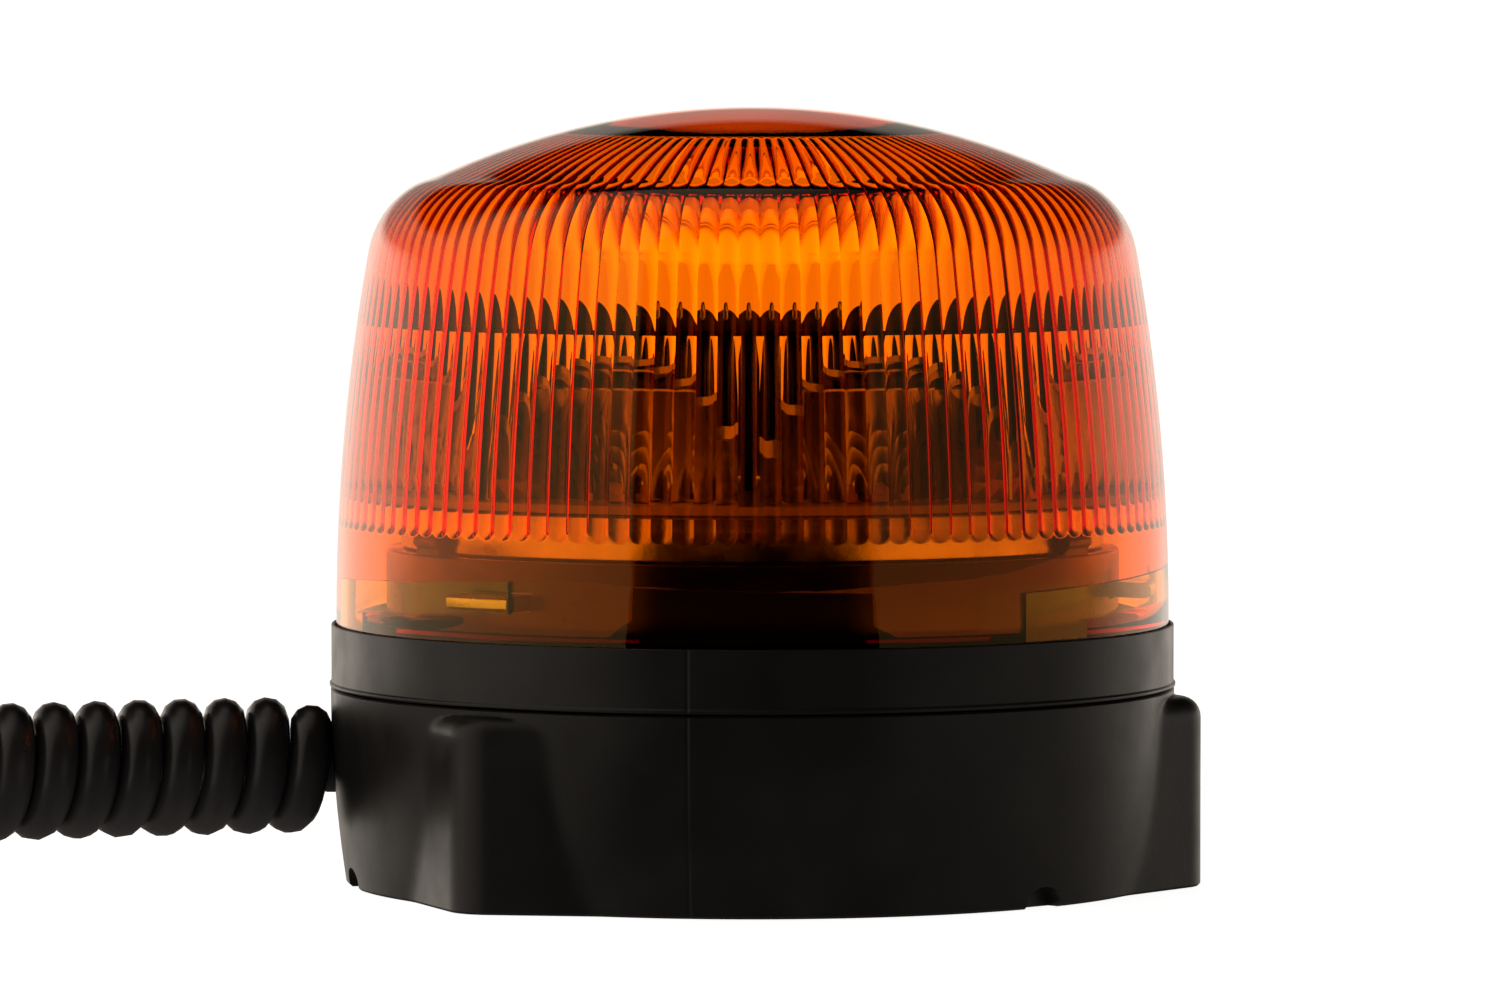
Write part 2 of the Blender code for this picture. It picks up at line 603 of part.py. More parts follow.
def make_foot():
    side = arc((FOOT_TOP_RADIUS, FOOT_TOP), (FOOT_BOTTOM_RADIUS, 0.0), FOOT_CURVE_RADIUS, 4)
    foot = turned("foot_shell", [(0.0, FOOT_TOP), *side, (0.0, 0.0)], BLACK)
    for bearing in LOBE_BEARINGS:
        fuse(foot, make_lobe(bearing))
    room = [(0.0, FOOT_TOP + 1), (FOOT_BORE, FOOT_TOP + 1), (FOOT_BORE, 9.0), (64.2, FOOT_FLOOR),
            (0.0, FOOT_FLOOR)]
    cut(foot, turned("foot_room", room))
    for bearing in LOBE_BEARINGS:
        boss = rod("magnet_boss", MAGNET_CUP_RADIUS + 2.4, 0.4, MAGNET_CUP_HEIGHT + 2.6,
                   steps=MIDDLE_STEPS)
        fuse(foot, at(boss, bearing, MAGNET_RING_RADIUS))
    for bearing in SCREW_BEARINGS:
        tower = rod("screw_tower", 5.6, 0.6, FOOT_TOP - GAP)
        fuse(foot, at(tower, bearing, SCREW_RING_RADIUS))
    for x in (-DRIVER_POSTS[0], DRIVER_POSTS[0]):
        for y in (-DRIVER_POSTS[1], DRIVER_POSTS[1]):
            post = rod("driver_post", 2.6, FOOT_FLOOR - 1, DRIVER_BOTTOM - GAP, steps=8)
            post.location = metres((x, y, 0))
            fuse(foot, post)
    seat = (CLAMP_SIZE[0] + 1, CLAMP_SIZE[1] + 0.6, CLAMP_SEAT_HEIGHT + 2)
    fuse(foot, block("clamp_seat", seat, (CLAMP_X, 0, FOOT_FLOOR + CLAMP_SEAT_HEIGHT / 2 - 1)))
    recess = [(62.0, UNDERSIDE_RECESS), (62.0, -1.0), (11.0, -1.0), (11.0, UNDERSIDE_RECESS)]
    cut(foot, turned("underside", recess, ring=True))
    for bearing in LOBE_BEARINGS:
        pocket = rod("magnet_pocket", MAGNET_CUP_RADIUS + GAP, -2.0, MAGNET_CUP_HEIGHT + GAP,
                     steps=MIDDLE_STEPS)
        cut(foot, at(pocket, bearing, MAGNET_RING_RADIUS))
        cut(foot, make_notch(bearing + NOTCH_OFFSET))
    for bearing in SCREW_BEARINGS:
        for tool in (rod("foot_screw_hole", SCREW_HOLE_RADIUS, -2.0, FOOT_TOP + 1),
                     rod("screw_head_room", 4.2, -2.5, 4.6)):
            cut(foot, at(tool, bearing, SCREW_RING_RADIUS))
    cut(foot, along_x(rod("lead_hole", WALL_HOLE_RADIUS, 0.0, 12.0), (-72.0, 0, LEAD_HEIGHT)))
    vent = rod("vent_hole", VENT_HOLE_RADIUS, -1.0, FOOT_FLOOR + 1)
    cut(foot, at(vent, VENT_BEARING, VENT_RING_RADIUS))
    for number, bearing in enumerate(SCREW_BEARINGS, start=1):
        screw = make_screw(f"foot_screw_{number}", 4.3, 1.7, 46.0)
        at(screw, bearing, SCREW_RING_RADIUS)


def make_magnets():
    wall = MAGNET_CUP_WALL
    inside = MAGNET_CUP_RADIUS - wall
    roof = MAGNET_CUP_HEIGHT - wall
    cup = [(0.0, MAGNET_CUP_HEIGHT), (MAGNET_CUP_RADIUS - 0.8, MAGNET_CUP_HEIGHT),
           (MAGNET_CUP_RADIUS, MAGNET_CUP_HEIGHT - 0.8), (MAGNET_CUP_RADIUS, 0.0), (inside, 0.0),
           (inside, roof), (0.0, roof)]
    core = [(0.0, roof - GAP), (inside - GAP, roof - GAP), (inside - GAP, 0.0), (0.0, 0.0)]
    for number, bearing in enumerate(LOBE_BEARINGS, start=1):
        for name, outline, material in ((f"magnet_cup_{number}", cup, STEEL),
                                        (f"magnet_{number}", core, FERRITE)):
            at(turned(name, outline, material, MIDDLE_STEPS), bearing, MAGNET_RING_RADIUS)


def make_vent():
    stem_end = UNDERSIDE_RECESS + 0.2
    seat = FOOT_FLOOR + GAP
    stem = VENT_HOLE_RADIUS - GAP
    head = VENT_HOLE_RADIUS + 1.2
    outline = [(0.0, seat + 1.6), (head, seat + 1.6), (head, seat), (stem, seat),
               (stem, stem_end), (0.0, stem_end)]
    at(turned("vent_plug", outline, RUBBER, SMALL_STEPS), VENT_BEARING, VENT_RING_RADIUS)


# ---- electronics ----------------------------------------------------------
def make_driver():
    top = DRIVER_BOTTOM + DRIVER_SIZE[2]
    deck = top + GAP
    block("driver_board", DRIVER_SIZE, (0, 0, DRIVER_BOTTOM + DRIVER_SIZE[2] / 2), BOARD)
    can = [(0.0, deck + 14.0), (4.4, deck + 14.0), (5.0, deck + 13.4), (5.0, deck + 1.6),
           (4.6, deck + 1.2), (5.0, deck + 0.8), (5.0, deck), (0.0, deck)]
    capacitor = turned("capacitor", can, BLACK, SMALL_STEPS)
    capacitor.location = metres((14.0, 12.0, 0))
    drum = [(0.0, deck + 9.0), (6.5, deck + 9.0), (6.5, deck + 7.5), (4.5, deck + 7.5),
            (4.5, deck + 1.5), (6.5, deck + 1.5), (6.5, deck), (0.0, deck)]
    choke = turned("choke", drum, FERRITE, SMALL_STEPS)
    choke.location = metres((12.0, -10.0, 0))
    block("regulator", (4.6, 10.2, 15.0), (-4.0, 12.0, deck + 7.5), BLACK)
    terminal = block("terminal_block", (9.0, 16.0, 9.0), (-22.0, 0, deck + 4.5), BLACK)
    for y in (-4.0, 4.0):
        socket = rod("wire_socket", 1.5, 0.0, 5.0, steps=8)
        cut(terminal, along_x(socket, (-18.0, y, deck + 3.0)))


def make_clamp():
    """A saddle over the lead, held by two screws."""
    seat = FOOT_FLOOR + CLAMP_SEAT_HEIGHT + GAP
    top = seat + CLAMP_SIZE[2]
    clamp = block("cord_clamp", CLAMP_SIZE, (CLAMP_X, 0, (seat + top) / 2), BLACK)
    cut(clamp, along_x(rod("lead_way", LEAD_DIAMETER / 2 + GAP, -8.0, 8.0),
                       (CLAMP_X, 0, LEAD_HEIGHT)))
    for number, y in enumerate((-CLAMP_SCREW_OFFSET, CLAMP_SCREW_OFFSET), start=1):
        hole = rod("clamp_hole", 1.5, seat - 1, top + 1, steps=8)
        hole.location = metres((CLAMP_X, y, 0))
        cut(clamp, hole)
        head = [(0.0, top + 1.9), (2.2, top + 1.7), (2.4, top + GAP), (1.2, top + GAP),
                (1.2, seat + 0.5), (0.0, seat + 0.5)]
        turned(f"clamp_screw_{number}", head, STEEL, 10).location = metres((CLAMP_X, y, 0))


# ---- lead -----------------------------------------------------------------
def smooth_route(corners, spacing):
    """Points at an even spacing on a smooth curve through the route's corners."""
    points = [Vector(corner) for corner in corners]
    points = [points[0] * 2 - points[1], *points, points[-1] * 2 - points[-2]]
    dense = []
    parts = 24
    for i in range(1, len(points) - 2):
        before, start, end, after = points[i - 1:i + 3]
        for j in range(parts):
            t = j / parts
            dense.append(0.5 * (2 * start + (end - before) * t
                                + (2 * before - 5 * start + 4 * end - after) * t ** 2
                                + (3 * start - before - 3 * end + after) * t ** 3))
    dense.append(points[-2])
    total = sum((b - a).length for a, b in zip(dense, dense[1:]))
    step = total / round(total / spacing)
    even = [dense[0]]
    travelled = 0.0
    for a, b in zip(dense, dense[1:]):
        length = (b - a).length
        while travelled + length >= step * len(even) - 1e-6:
            even.append(a.lerp(b, (step * len(even) - travelled) / length))
        travelled += length
    even[-1] = points[-2]
    return even


def tube(name, route, diameter, material, roundness):
    """A round cord along a route, its ends closed."""
    curve = bpy.data.curves.new(name, "CURVE")
    curve.dimensions = "3D"
    curve.bevel_depth = diameter / 2 * MM
    curve.bevel_resolution = roundness
    curve.use_fill_caps = True
    spline = curve.splines.new("POLY")
    spline.points.add(len(route) - 1)
    for point, spot in zip(spline.points, route):
        point.co = (*metres(spot), 1.0)
    curve.materials.append(material)
    made = bpy.data.objects.new(name, curve)
    PARTS.objects.link(made)
    return made


def make_lead():
    tube("cord_spiral", smooth_route(SPIRAL_ROUTE, 11.0), SPIRAL_DIAMETER, LEAD_JACKET, 4)
    tube("cord_tail", smooth_route(TAIL_ROUTE, 9.0), LEAD_DIAMETER, LEAD_JACKET, 2)
    inner_route = ((-61.2, 0, LEAD_HEIGHT), (-50.0, 0, LEAD_HEIGHT), (-42.0, 0, LEAD_HEIGHT),
                   (-36.0, 0, 18.6), (-32.0, 0, 18.1), (-28.0, 0, 17.8))
    tube("inner_lead", smooth_route(inner_route, 4.5), LEAD_DIAMETER, LEAD_JACKET, 2)
    outline = [(0.0, 7.4), (4.4, 7.4), (4.6, 5.9), (6.6, 5.9), (6.6, 3.4), (4.6, 3.4),
               (4.6, -1.4), (0.0, -1.4)]
    along_x(turned("cord_gland", outline, RUBBER, SMALL_STEPS), (-68.9, 0, LEAD_HEIGHT))


# ---- plug -----------------------------------------------------------------
def plug_shell():
    """The grip and nose in one shell, open at the front for the contacts."""
    nose = PLUG_NOSE_RADIUS
    outline = [(nose, 84.0), (nose, 58.5), (11.0, 57.0), (PLUG_RADIUS, 54.0),
               (11.5, 47.0), (PLUG_RADIUS, 40.0), (11.6, 30.0), (8.8, 24.3), (0.0, 24.3)]
    hollow = [(0.0, 40.0), (6.5, 40.0), (6.5, 84.0)]
    body = along_x(turned("plug_body", hollow + outline, BLACK, MIDDLE_STEPS), PLUG_REAR)
    slot = block("contact_slot", (17.0, 40.0, 5.4), (PLUG_REAR[0] + 68.0, PLUG_REAR[1],
                                                     PLUG_REAR[2]))
    cut(body, slot)


def plug_contact(name, side):
    """A spring strip that bows out of the nose's side."""
    low, high = 60.3, 75.7
    middle = (low + high) / 2
    crest = 12.1
    bow = []
    for i in range(7):
        x = low + 0.2 + (high - low - 0.4) * i / 6
        bow.append((x, crest - 2.0 * ((x - middle) / (middle - low)) ** 2))
    outline = [(low, 7.5), (high, 7.5), *bow[::-1]]
    contact = prism(name, [(x, side * y) for x, y in outline], -2.2, 2.2, STEEL)
    contact.location = metres(PLUG_REAR)


def make_plug():
    relief = [(0.0, 24.0), (6.6, 24.0), (6.8, 20.0), (6.2, 18.6), (6.3, 15.0), (5.6, 13.8),
              (5.7, 10.0), (5.0, 8.8), (4.6, 0.0), (0.0, 0.0)]
    along_x(turned("plug_relief", relief, RUBBER, MIDDLE_STEPS), PLUG_REAR)
    plug_shell()
    cap = [(7.6, 92.0), (9.4, 89.0), (PLUG_NOSE_RADIUS - 0.2, 84.3), (5.4, 84.3), (3.3, 86.8),
           (3.3, 92.0)]
    along_x(turned("plug_cap", cap, STEEL, MIDDLE_STEPS, ring=True), PLUG_REAR)
    pin = [(0.0, 97.0), (1.8, 96.6), (3.0, 95.0), (3.0, 84.0), (4.6, 83.8), (4.6, 82.0),
           (0.0, 82.0)]
    along_x(turned("plug_pin", pin, BRASS, SMALL_STEPS), PLUG_REAR)
    spring = [(4.2, 77.8), (4.2, 73.0), (2.6, 73.0), (2.6, 77.8)]
    along_x(turned("plug_spring", spring, STEEL, SMALL_STEPS, ring=True), PLUG_REAR)
    cartridge = [(0.0, 72.7), (3.2, 72.7), (3.2, 67.0), (2.9, 66.8), (2.9, 48.2), (3.2, 48.0),
                 (3.2, 42.4), (0.0, 42.4)]
    along_x(turned("plug_fuse", cartridge, GLASS, 10), PLUG_REAR)
    plug_contact("plug_contact_left", 1)
    plug_contact("plug_contact_right", -1)


def main():
    make_hood()
    make_housing()
    make_carrier()
    make_clips()
    make_light_unit()
    make_foot()
    make_magnets()
    make_vent()
    make_driver()
    make_clamp()
    make_lead()
    make_plug()


main()
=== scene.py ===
"""Looks of the amber magnetic beacon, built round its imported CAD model.

Lengths in the tables are millimetres; objects are in metres, in the CAD's own
frame.  Bearings are degrees from -Y towards +X.
"""

from math import acos, atan2, cos, pi, radians, sin, sqrt, tan

import bmesh
import bpy
import numpy as np
from mathutils import Matrix, Vector


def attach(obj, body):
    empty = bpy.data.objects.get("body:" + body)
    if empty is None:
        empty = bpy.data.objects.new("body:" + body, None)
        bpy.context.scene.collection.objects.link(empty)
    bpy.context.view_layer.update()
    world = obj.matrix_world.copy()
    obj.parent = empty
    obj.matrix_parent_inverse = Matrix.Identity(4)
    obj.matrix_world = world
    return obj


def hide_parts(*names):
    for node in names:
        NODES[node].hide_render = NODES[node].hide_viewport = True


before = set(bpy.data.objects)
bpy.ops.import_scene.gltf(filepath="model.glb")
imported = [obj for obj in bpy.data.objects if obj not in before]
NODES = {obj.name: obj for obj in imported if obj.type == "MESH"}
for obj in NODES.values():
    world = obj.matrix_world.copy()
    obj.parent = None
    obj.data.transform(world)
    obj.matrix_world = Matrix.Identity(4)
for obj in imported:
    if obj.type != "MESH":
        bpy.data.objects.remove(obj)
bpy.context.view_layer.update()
MM = 0.001


# ---- node materials -------------------------------------------------------
class Paint:
    """A Principled material and the nodes that feed it."""

    def __init__(self, name, colour, roughness, **values):
        self.material = bpy.data.materials.new(name)
        self.material.use_nodes = True
        self.tree = self.material.node_tree
        self.shader = self.tree.nodes["Principled BSDF"]
        self.set("Base Color", (*colour, 1.0))
        self.set("Roughness", roughness)
        for key, value in values.items():
            self.set(key.replace("_", " "), value)

    def set(self, socket, value):
        self.shader.inputs[socket].default_value = value

    def node(self, kind, **settings):
        made = self.tree.nodes.new(kind)
        for key, value in settings.items():
            if hasattr(made, key):
                setattr(made, key, value)
            else:
                made.inputs[key.replace("_", " ")].default_value = value
        return made

    def link(self, output, target):
        self.tree.links.new(output, target)

    def noise(self, scale, detail):
        """A noise texture over the object's own coordinates."""
        where = self.node("ShaderNodeTexCoord")
        made = self.node("ShaderNodeTexNoise", Scale=scale, Detail=detail, Roughness=0.5)
        self.link(where.outputs["Object"], made.inputs["Vector"])
        return made.outputs["Fac"]

    def ramp(self, value, stops):
        made = self.node("ShaderNodeValToRGB")
        elements = made.color_ramp.elements
        while len(elements) < len(stops):
            elements.new(0.5)
        for element, (position, colour) in zip(elements, stops):
            element.position = position
            element.color = (*colour, 1.0)
        self.link(value, made.inputs["Fac"])
        return made.outputs["Color"]

    def spread(self, value, low, high):
        """A value between low and high that follows a texture."""
        made = self.node("ShaderNodeMapRange")
        for key, number in (("From Min", 0.3), ("From Max", 0.7), ("To Min", low), ("To Max", high)):
            made.inputs[key].default_value = number
        self.link(value, made.inputs["Value"])
        return made.outputs["Result"]

    def bump(self, height, depth, strength):
        made = self.node("ShaderNodeBump", Strength=strength, Distance=depth)
        self.link(height, made.inputs["Height"])
        return made.outputs["Normal"]

    def feed(self, socket, output):
        self.link(output, self.shader.inputs[socket])


def moulded(name, dark, light, roughness, grain=1500.0, depth=0.00003, specular=0.5):
    """Moulded plastic or rubber: a fine grain and a slow change of tone and sheen."""
    paint = Paint(name, dark, roughness)
    paint.set("Specular IOR Level", specular)
    paint.feed("Base Color", paint.ramp(paint.noise(55.0, 5.0), [(0.35, dark), (0.75, light)]))
    paint.feed("Roughness", paint.spread(paint.noise(90.0, 4.0), roughness - 0.06, roughness + 0.08))
    paint.feed("Normal", paint.bump(paint.noise(grain, 2.0), depth, 0.5))
    return paint.material


def cast_metal(name, colour, roughness, grain=700.0, depth=0.00004):
    """Metal with a grain, a little darker in places."""
    paint = Paint(name, colour, roughness, Metallic=1.0)
    darker = tuple(0.75 * c for c in colour)
    paint.feed("Base Color", paint.ramp(paint.noise(120.0, 5.0), [(0.3, darker), (0.7, colour)]))
    paint.feed("Roughness", paint.spread(paint.noise(160.0, 3.0), roughness - 0.07, roughness + 0.1))
    paint.feed("Normal", paint.bump(paint.noise(grain, 3.0), depth, 0.6))
    return paint.material


def lens_material():
    """Clear amber polycarbonate, coloured by how much of it the light crosses."""
    paint = Paint("lens_amber", (1.0, 1.0, 1.0), 0.0, Transmission_Weight=1.0, IOR=1.58)
    paint.set("Specular Tint", (1.0, 0.7, 0.28, 1.0))
    paint.feed("Normal", paint.bump(paint.noise(60.0, 2.0), 0.00002, 0.4))
    tint = paint.node("ShaderNodeVolumeAbsorption", Color=(0.997, 0.775, 0.0, 1.0), Density=1300.0)
    paint.link(tint.outputs["Volume"], paint.tree.nodes["Material Output"].inputs["Volume"])
    return paint.material


HOUSING_BLACK = moulded("housing_black", (0.0045, 0.0036, 0.0030), (0.008, 0.0066, 0.0055), 0.36,
                        specular=0.35)
INNER_BLACK = moulded("inner_black", (0.004, 0.0035, 0.0035), (0.008, 0.007, 0.007), 0.2, 2200.0,
                      0.00001)
DISC_BLACK = moulded("disc_black", (0.004, 0.0035, 0.0035), (0.007, 0.006, 0.006), 0.9,
                     specular=0.05)
CORD_BLACK = moulded("cord_black", (0.010, 0.009, 0.009), (0.017, 0.014, 0.013), 0.3, 900.0, 0.00002)
RUBBER_BLACK = moulded("rubber_black", (0.012, 0.011, 0.011), (0.022, 0.020, 0.019), 0.55, 1100.0)
CAST = cast_metal("heat_sink_cast", (0.78, 0.78, 0.78), 0.22)
ZINC = cast_metal("zinc_plated", (0.66, 0.67, 0.68), 0.28, 1400.0, 0.00001)
BRIGHT = cast_metal("nickel_plated", (0.78, 0.74, 0.62), 0.2, 1400.0, 0.00001)
CHROME = cast_metal("vacuum_chrome", (0.42, 0.42, 0.43), 0.12, 300.0, 0.00001)
MAGNET_GREY = moulded("magnet_grey", (0.05, 0.05, 0.053), (0.09, 0.09, 0.093), 0.5, 800.0)
BOARD_WHITE = moulded("board_white", (0.62, 0.63, 0.60), (0.78, 0.79, 0.76), 0.35, 500.0)
EMITTER = moulded("led_phosphor", (0.80, 0.62, 0.16), (0.88, 0.74, 0.28), 0.3, 500.0)
FUSE_GLASS = Paint("fuse_glass", (0.86, 0.9, 0.9), 0.03, Transmission_Weight=1.0, IOR=1.5).material
AMBER = lens_material()

SLOT_PAINT = {
    "amber_lens": AMBER, "black_housing": HOUSING_BLACK, "black_inner": INNER_BLACK,
    "reflector_chrome": CHROME, "cast_aluminium": CAST, "circuit_board": BOARD_WHITE,
    "led_emitter": EMITTER, "zinc_steel": ZINC, "ferrite": MAGNET_GREY,
    "black_rubber": RUBBER_BLACK, "lead_jacket": CORD_BLACK, "nickel_brass": BRIGHT,
    "fuse_glass": FUSE_GLASS,
}


# ---- geometry -------------------------------------------------------------
def place(bearing, radius, height=0.0):
    """The point at a bearing, radius and height, in metres."""
    angle = radians(bearing)
    return Vector((radius * sin(angle), -radius * cos(angle), height)) * MM


def show(name, mesh, material, body, slot, *replaced):
    """Put a finished mesh in the scene as a piece that rides on a body."""
    made = bpy.data.objects.new(name, mesh)
    bpy.context.scene.collection.objects.link(made)
    mesh.materials.clear()
    mesh.materials.append(material)
    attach(made, body)
    if replaced:
        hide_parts(*replaced)
    return made


def arc(start, end, radius, count):
    """Points on the arc that bulges away from the axis, from start down to end."""
    middle = (Vector(start) + Vector(end)) / 2
    chord = Vector(end) - Vector(start)
    inward = Vector((chord.y, -chord.x)).normalized()
    centre = middle + inward * sqrt(radius ** 2 - (chord.length / 2) ** 2)
    first = Vector(start) - centre
    last = Vector(end) - centre
    angle = acos(first.dot(last) / radius ** 2)
    return [tuple(centre + Matrix.Rotation(-angle * i / count, 2) @ first)
            for i in range(count + 1)]


def ring_solid(name, rings, start_pole=None, end_pole=None, wrap=False):
    """A mesh from rings of points, in millimetres, each joined to the next.

    A pole closes either end with a fan; wrap joins the last ring to the first.
    """
    rings = [np.asarray(ring, float) for ring in rings]
    count = len(rings[0])
    points = np.concatenate(rings)
    total = len(rings)
    column = np.arange(count)
    following = (column + 1) % count
    quads = []
    for i in range(total if wrap else total - 1):
        a, b = i * count, ((i + 1) % total) * count
        quads.append(np.stack([a + column, b + column, b + following, a + following], 1))
    faces = np.concatenate(quads).tolist()
    extra = len(points)
    if start_pole is not None:
        points = np.vstack([points, start_pole])
        faces += [(extra, int(c), int(f)) for c, f in zip(column, following)]
        extra += 1
    if end_pole is not None:
        points = np.vstack([points, end_pole])
        last = (total - 1) * count
        faces += [(extra, last + int(f), last + int(c)) for c, f in zip(column, following)]
    mesh = bpy.data.meshes.new(name)
    mesh.from_pydata((points * MM).tolist(), [], faces)
    return mesh


def tidy(mesh, angle=35.0):
    """Faces outwards, smooth but for real edges."""
    shape = bmesh.new()
    shape.from_mesh(mesh)
    bmesh.ops.recalc_face_normals(shape, faces=shape.faces)
    shape.to_mesh(mesh)
    shape.free()
    mesh.shade_smooth()
    mesh.set_sharp_from_angle(angle=radians(angle))
    return mesh


def circle_of(radius, height, bearings):
    """Points round the axis, one at each bearing."""
    angles = np.radians(bearings)
    return np.stack([radius * np.sin(angles), -radius * np.cos(angles),
                     height * np.ones_like(angles)], 1)


def rounded(outline, closed=True):
    """Fillet the corners of an outline of (r, z) or (r, z, fillet)."""
    steps = 3
    count = len(outline)
    points = []
    for i, corner in enumerate(outline):
        here = Vector(corner[:2])
        fillet = corner[2] if len(corner) > 2 else 0.0
        if fillet == 0.0 or (not closed and i in (0, count - 1)):
            points.append(tuple(here))
            continue
        back = Vector(outline[i - 1][:2]) - here
        ahead = Vector(outline[(i + 1) % count][:2]) - here
        angle = back.angle(ahead)
        cut = min(fillet / tan(angle / 2), 0.49 * back.length, 0.49 * ahead.length)
        a, b = here + back.normalized() * cut, here + ahead.normalized() * cut
        for j in range(steps + 1):
            t = j / steps
            points.append(tuple(a * (1 - t) ** 2 + here * 2 * t * (1 - t) + b * t ** 2))
    return points


def turned(name, outline, steps=180, closed=True):
    """A turned mesh from an outline of (r, z, fillet); an open outline ends on the axis."""
    bearings = np.arange(steps) * 360.0 / steps
    points = rounded(outline, closed)
    if closed:
        return tidy(ring_solid(name, [circle_of(r, z, bearings) for r, z in points], wrap=True))
    rings = [circle_of(r, z, bearings) for r, z in points[1:-1]]
    return tidy(ring_solid(name, rings, (0, 0, points[0][1]), (0, 0, points[-1][1])))


def joined(name, meshes):
    """One mesh of several separate solids."""
    shape = bmesh.new()
    for mesh in meshes:
        shape.from_mesh(mesh)
    made = bpy.data.meshes.new(name)
    shape.to_mesh(made)
    shape.free()
    return made


def carve(mesh, tools, operation="DIFFERENCE"):
    """The mesh after a boolean with a mesh of tools."""
    target = bpy.data.objects.new("target", mesh)
    tool = bpy.data.objects.new("tool", tools)
    for made in (target, tool):
        bpy.context.scene.collection.objects.link(made)
    change = target.modifiers.new("carve", "BOOLEAN")
    change.operation = operation
    change.solver = "EXACT"
    change.object = tool
    bpy.context.view_layer.update()
    result = bpy.data.meshes.new_from_object(
        target.evaluated_get(bpy.context.evaluated_depsgraph_get()))
    for made in (target, tool):
        bpy.data.objects.remove(made)
    return result


def moved(mesh, matrix):
    """The same mesh, after a move or turn."""
    mesh.transform(matrix)
    return mesh


def at(mesh, bearing, radius):
    """Move a mesh that was made on the axis to a bearing, its +X facing out."""
    turn = Matrix.Rotation(radians(bearing - 90), 4, "Z")
    return moved(mesh, Matrix.Translation(place(bearing, radius)) @ turn)


def drum(radius, low, high, steps=32):
    """A cylinder on the axis, to fuse or cut with."""
    return turned("drum", [(0, high), (radius, high), (radius, low), (0, low)], steps, False)


# ---- lens -----------------------------------------------------------------
HOOD_TOP = 126.8
PROFILE_STEP = 0.25
CAP_RADIUS = 123.0             # sphere at the crown
SHOULDER_RADIUS = 15.4
WALL_CURVE_RADIUS = 335.0
CAP_EDGE = (53.5, 115.0)       # where the crown, shoulder and wall meet
SHOULDER_EDGE = (62.6, 104.5)
WALL_FOOT = (68.2, 44.4)
WALL = 3.0
SKIRT_RADIUS = 66.3
SKIRT_INNER = 63.9
SKIRT_BOTTOM = 36.4
LEDGE = 39.6                   # where the wall steps in to the skirt
FLUTES = 120
VALLEY_BEARING = 1.0           # of one of the valleys between ribs
FLUTE_SLOPE = 29.0             # of a rib's side where it meets the next
CROWN_SLOPE = 22.0             # the same on the crown
FLUTE_TOP_RADIUS = 31.0
FLUTE_FOOT = 58.6              # height at which the ribs end
FLUTE_FOOT_RADIUS = 64.5       # of the inner side there
BAYONET_BEARINGS = (-41.0, 79.0, 199.0)
SLOT_SWEEP = 45.2
SLOT_ENTRY = 12.2
SLOT_FLOOR = 47.0              # at the locked end
SLOT_RISE = 2.0
SLOT_HEIGHT = 5.2
SLOT_RADIUS = 66.5
SLOT_EDGE = 0.05               # half the height of the slot's sharp corners


def lens_profile():
    """The hood's outer side as evenly spaced points (r, z), with the normals, crown to foot."""
    centre = HOOD_TOP - CAP_RADIUS
    crown = [(CAP_EDGE[0] * i / 80, centre + sqrt(CAP_RADIUS ** 2 - (CAP_EDGE[0] * i / 80) ** 2))
             for i in range(80)]
    line = np.array(crown + arc(CAP_EDGE, SHOULDER_EDGE, SHOULDER_RADIUS, 40)
                    + arc(SHOULDER_EDGE, WALL_FOOT, WALL_CURVE_RADIUS, 80)[1:])
    lengths = np.concatenate([[0], np.cumsum(np.hypot(*np.diff(line, axis=0).T))])
    along = np.linspace(0, lengths[-1], int(lengths[-1] / PROFILE_STEP) + 1)
    even = np.stack([np.interp(along, lengths, line[:, i]) for i in (0, 1)], 1)
    reach = 12
    mirrored = np.vstack([even[reach:0:-1] * (-1, 1), even,
                          2 * even[-1] - even[-2:-reach - 2:-1]])
    kernel = np.exp(-0.5 * (np.arange(-reach, reach + 1) / 5.0) ** 2)
    kernel /= kernel.sum()
    smooth = np.stack([np.convolve(mirrored[:, i], kernel, "valid") for i in (0, 1)], 1)
    smooth[0] = even[0]
    smooth[-1] = even[-1]
    run = np.gradient(smooth, axis=0)
    run /= np.hypot(*run.T)[:, None]
    normal = np.stack([-run[:, 1], run[:, 0]], 1)
    return along, smooth, normal


def lens_columns():
    """Bearings of the mesh's columns, with a close pair at each end of each slot."""
    per_flute = 10
    columns = np.arange(FLUTES * per_flute) * 360.0 / (FLUTES * per_flute) - 180.0 + VALLEY_BEARING
    for bearing in BAYONET_BEARINGS:
        end = bearing + SLOT_ENTRY / 2
        for edge in (end, end - SLOT_SWEEP, end - SLOT_SWEEP + SLOT_ENTRY):
            edge = (edge + 180.0) % 360.0 - 180.0
            i = int(np.searchsorted(columns, edge))
            columns[i - 1], columns[i % len(columns)] = edge - 0.03, edge + 0.03
    return columns


def slot_place(bearings):
    """How far along its slot each bearing is, from 0 to 1, and whether it is in the way in."""
    along = np.full(len(bearings), np.nan)
    entry = np.zeros(len(bearings), bool)
    for bearing in BAYONET_BEARINGS:
        start = bearing + SLOT_ENTRY / 2 - SLOT_SWEEP
        ahead = (bearings - start) % 360.0
        inside = ahead < SLOT_SWEEP
        along[inside] = ahead[inside] / SLOT_SWEEP
        entry |= inside & (ahead < SLOT_ENTRY)
    return along, entry


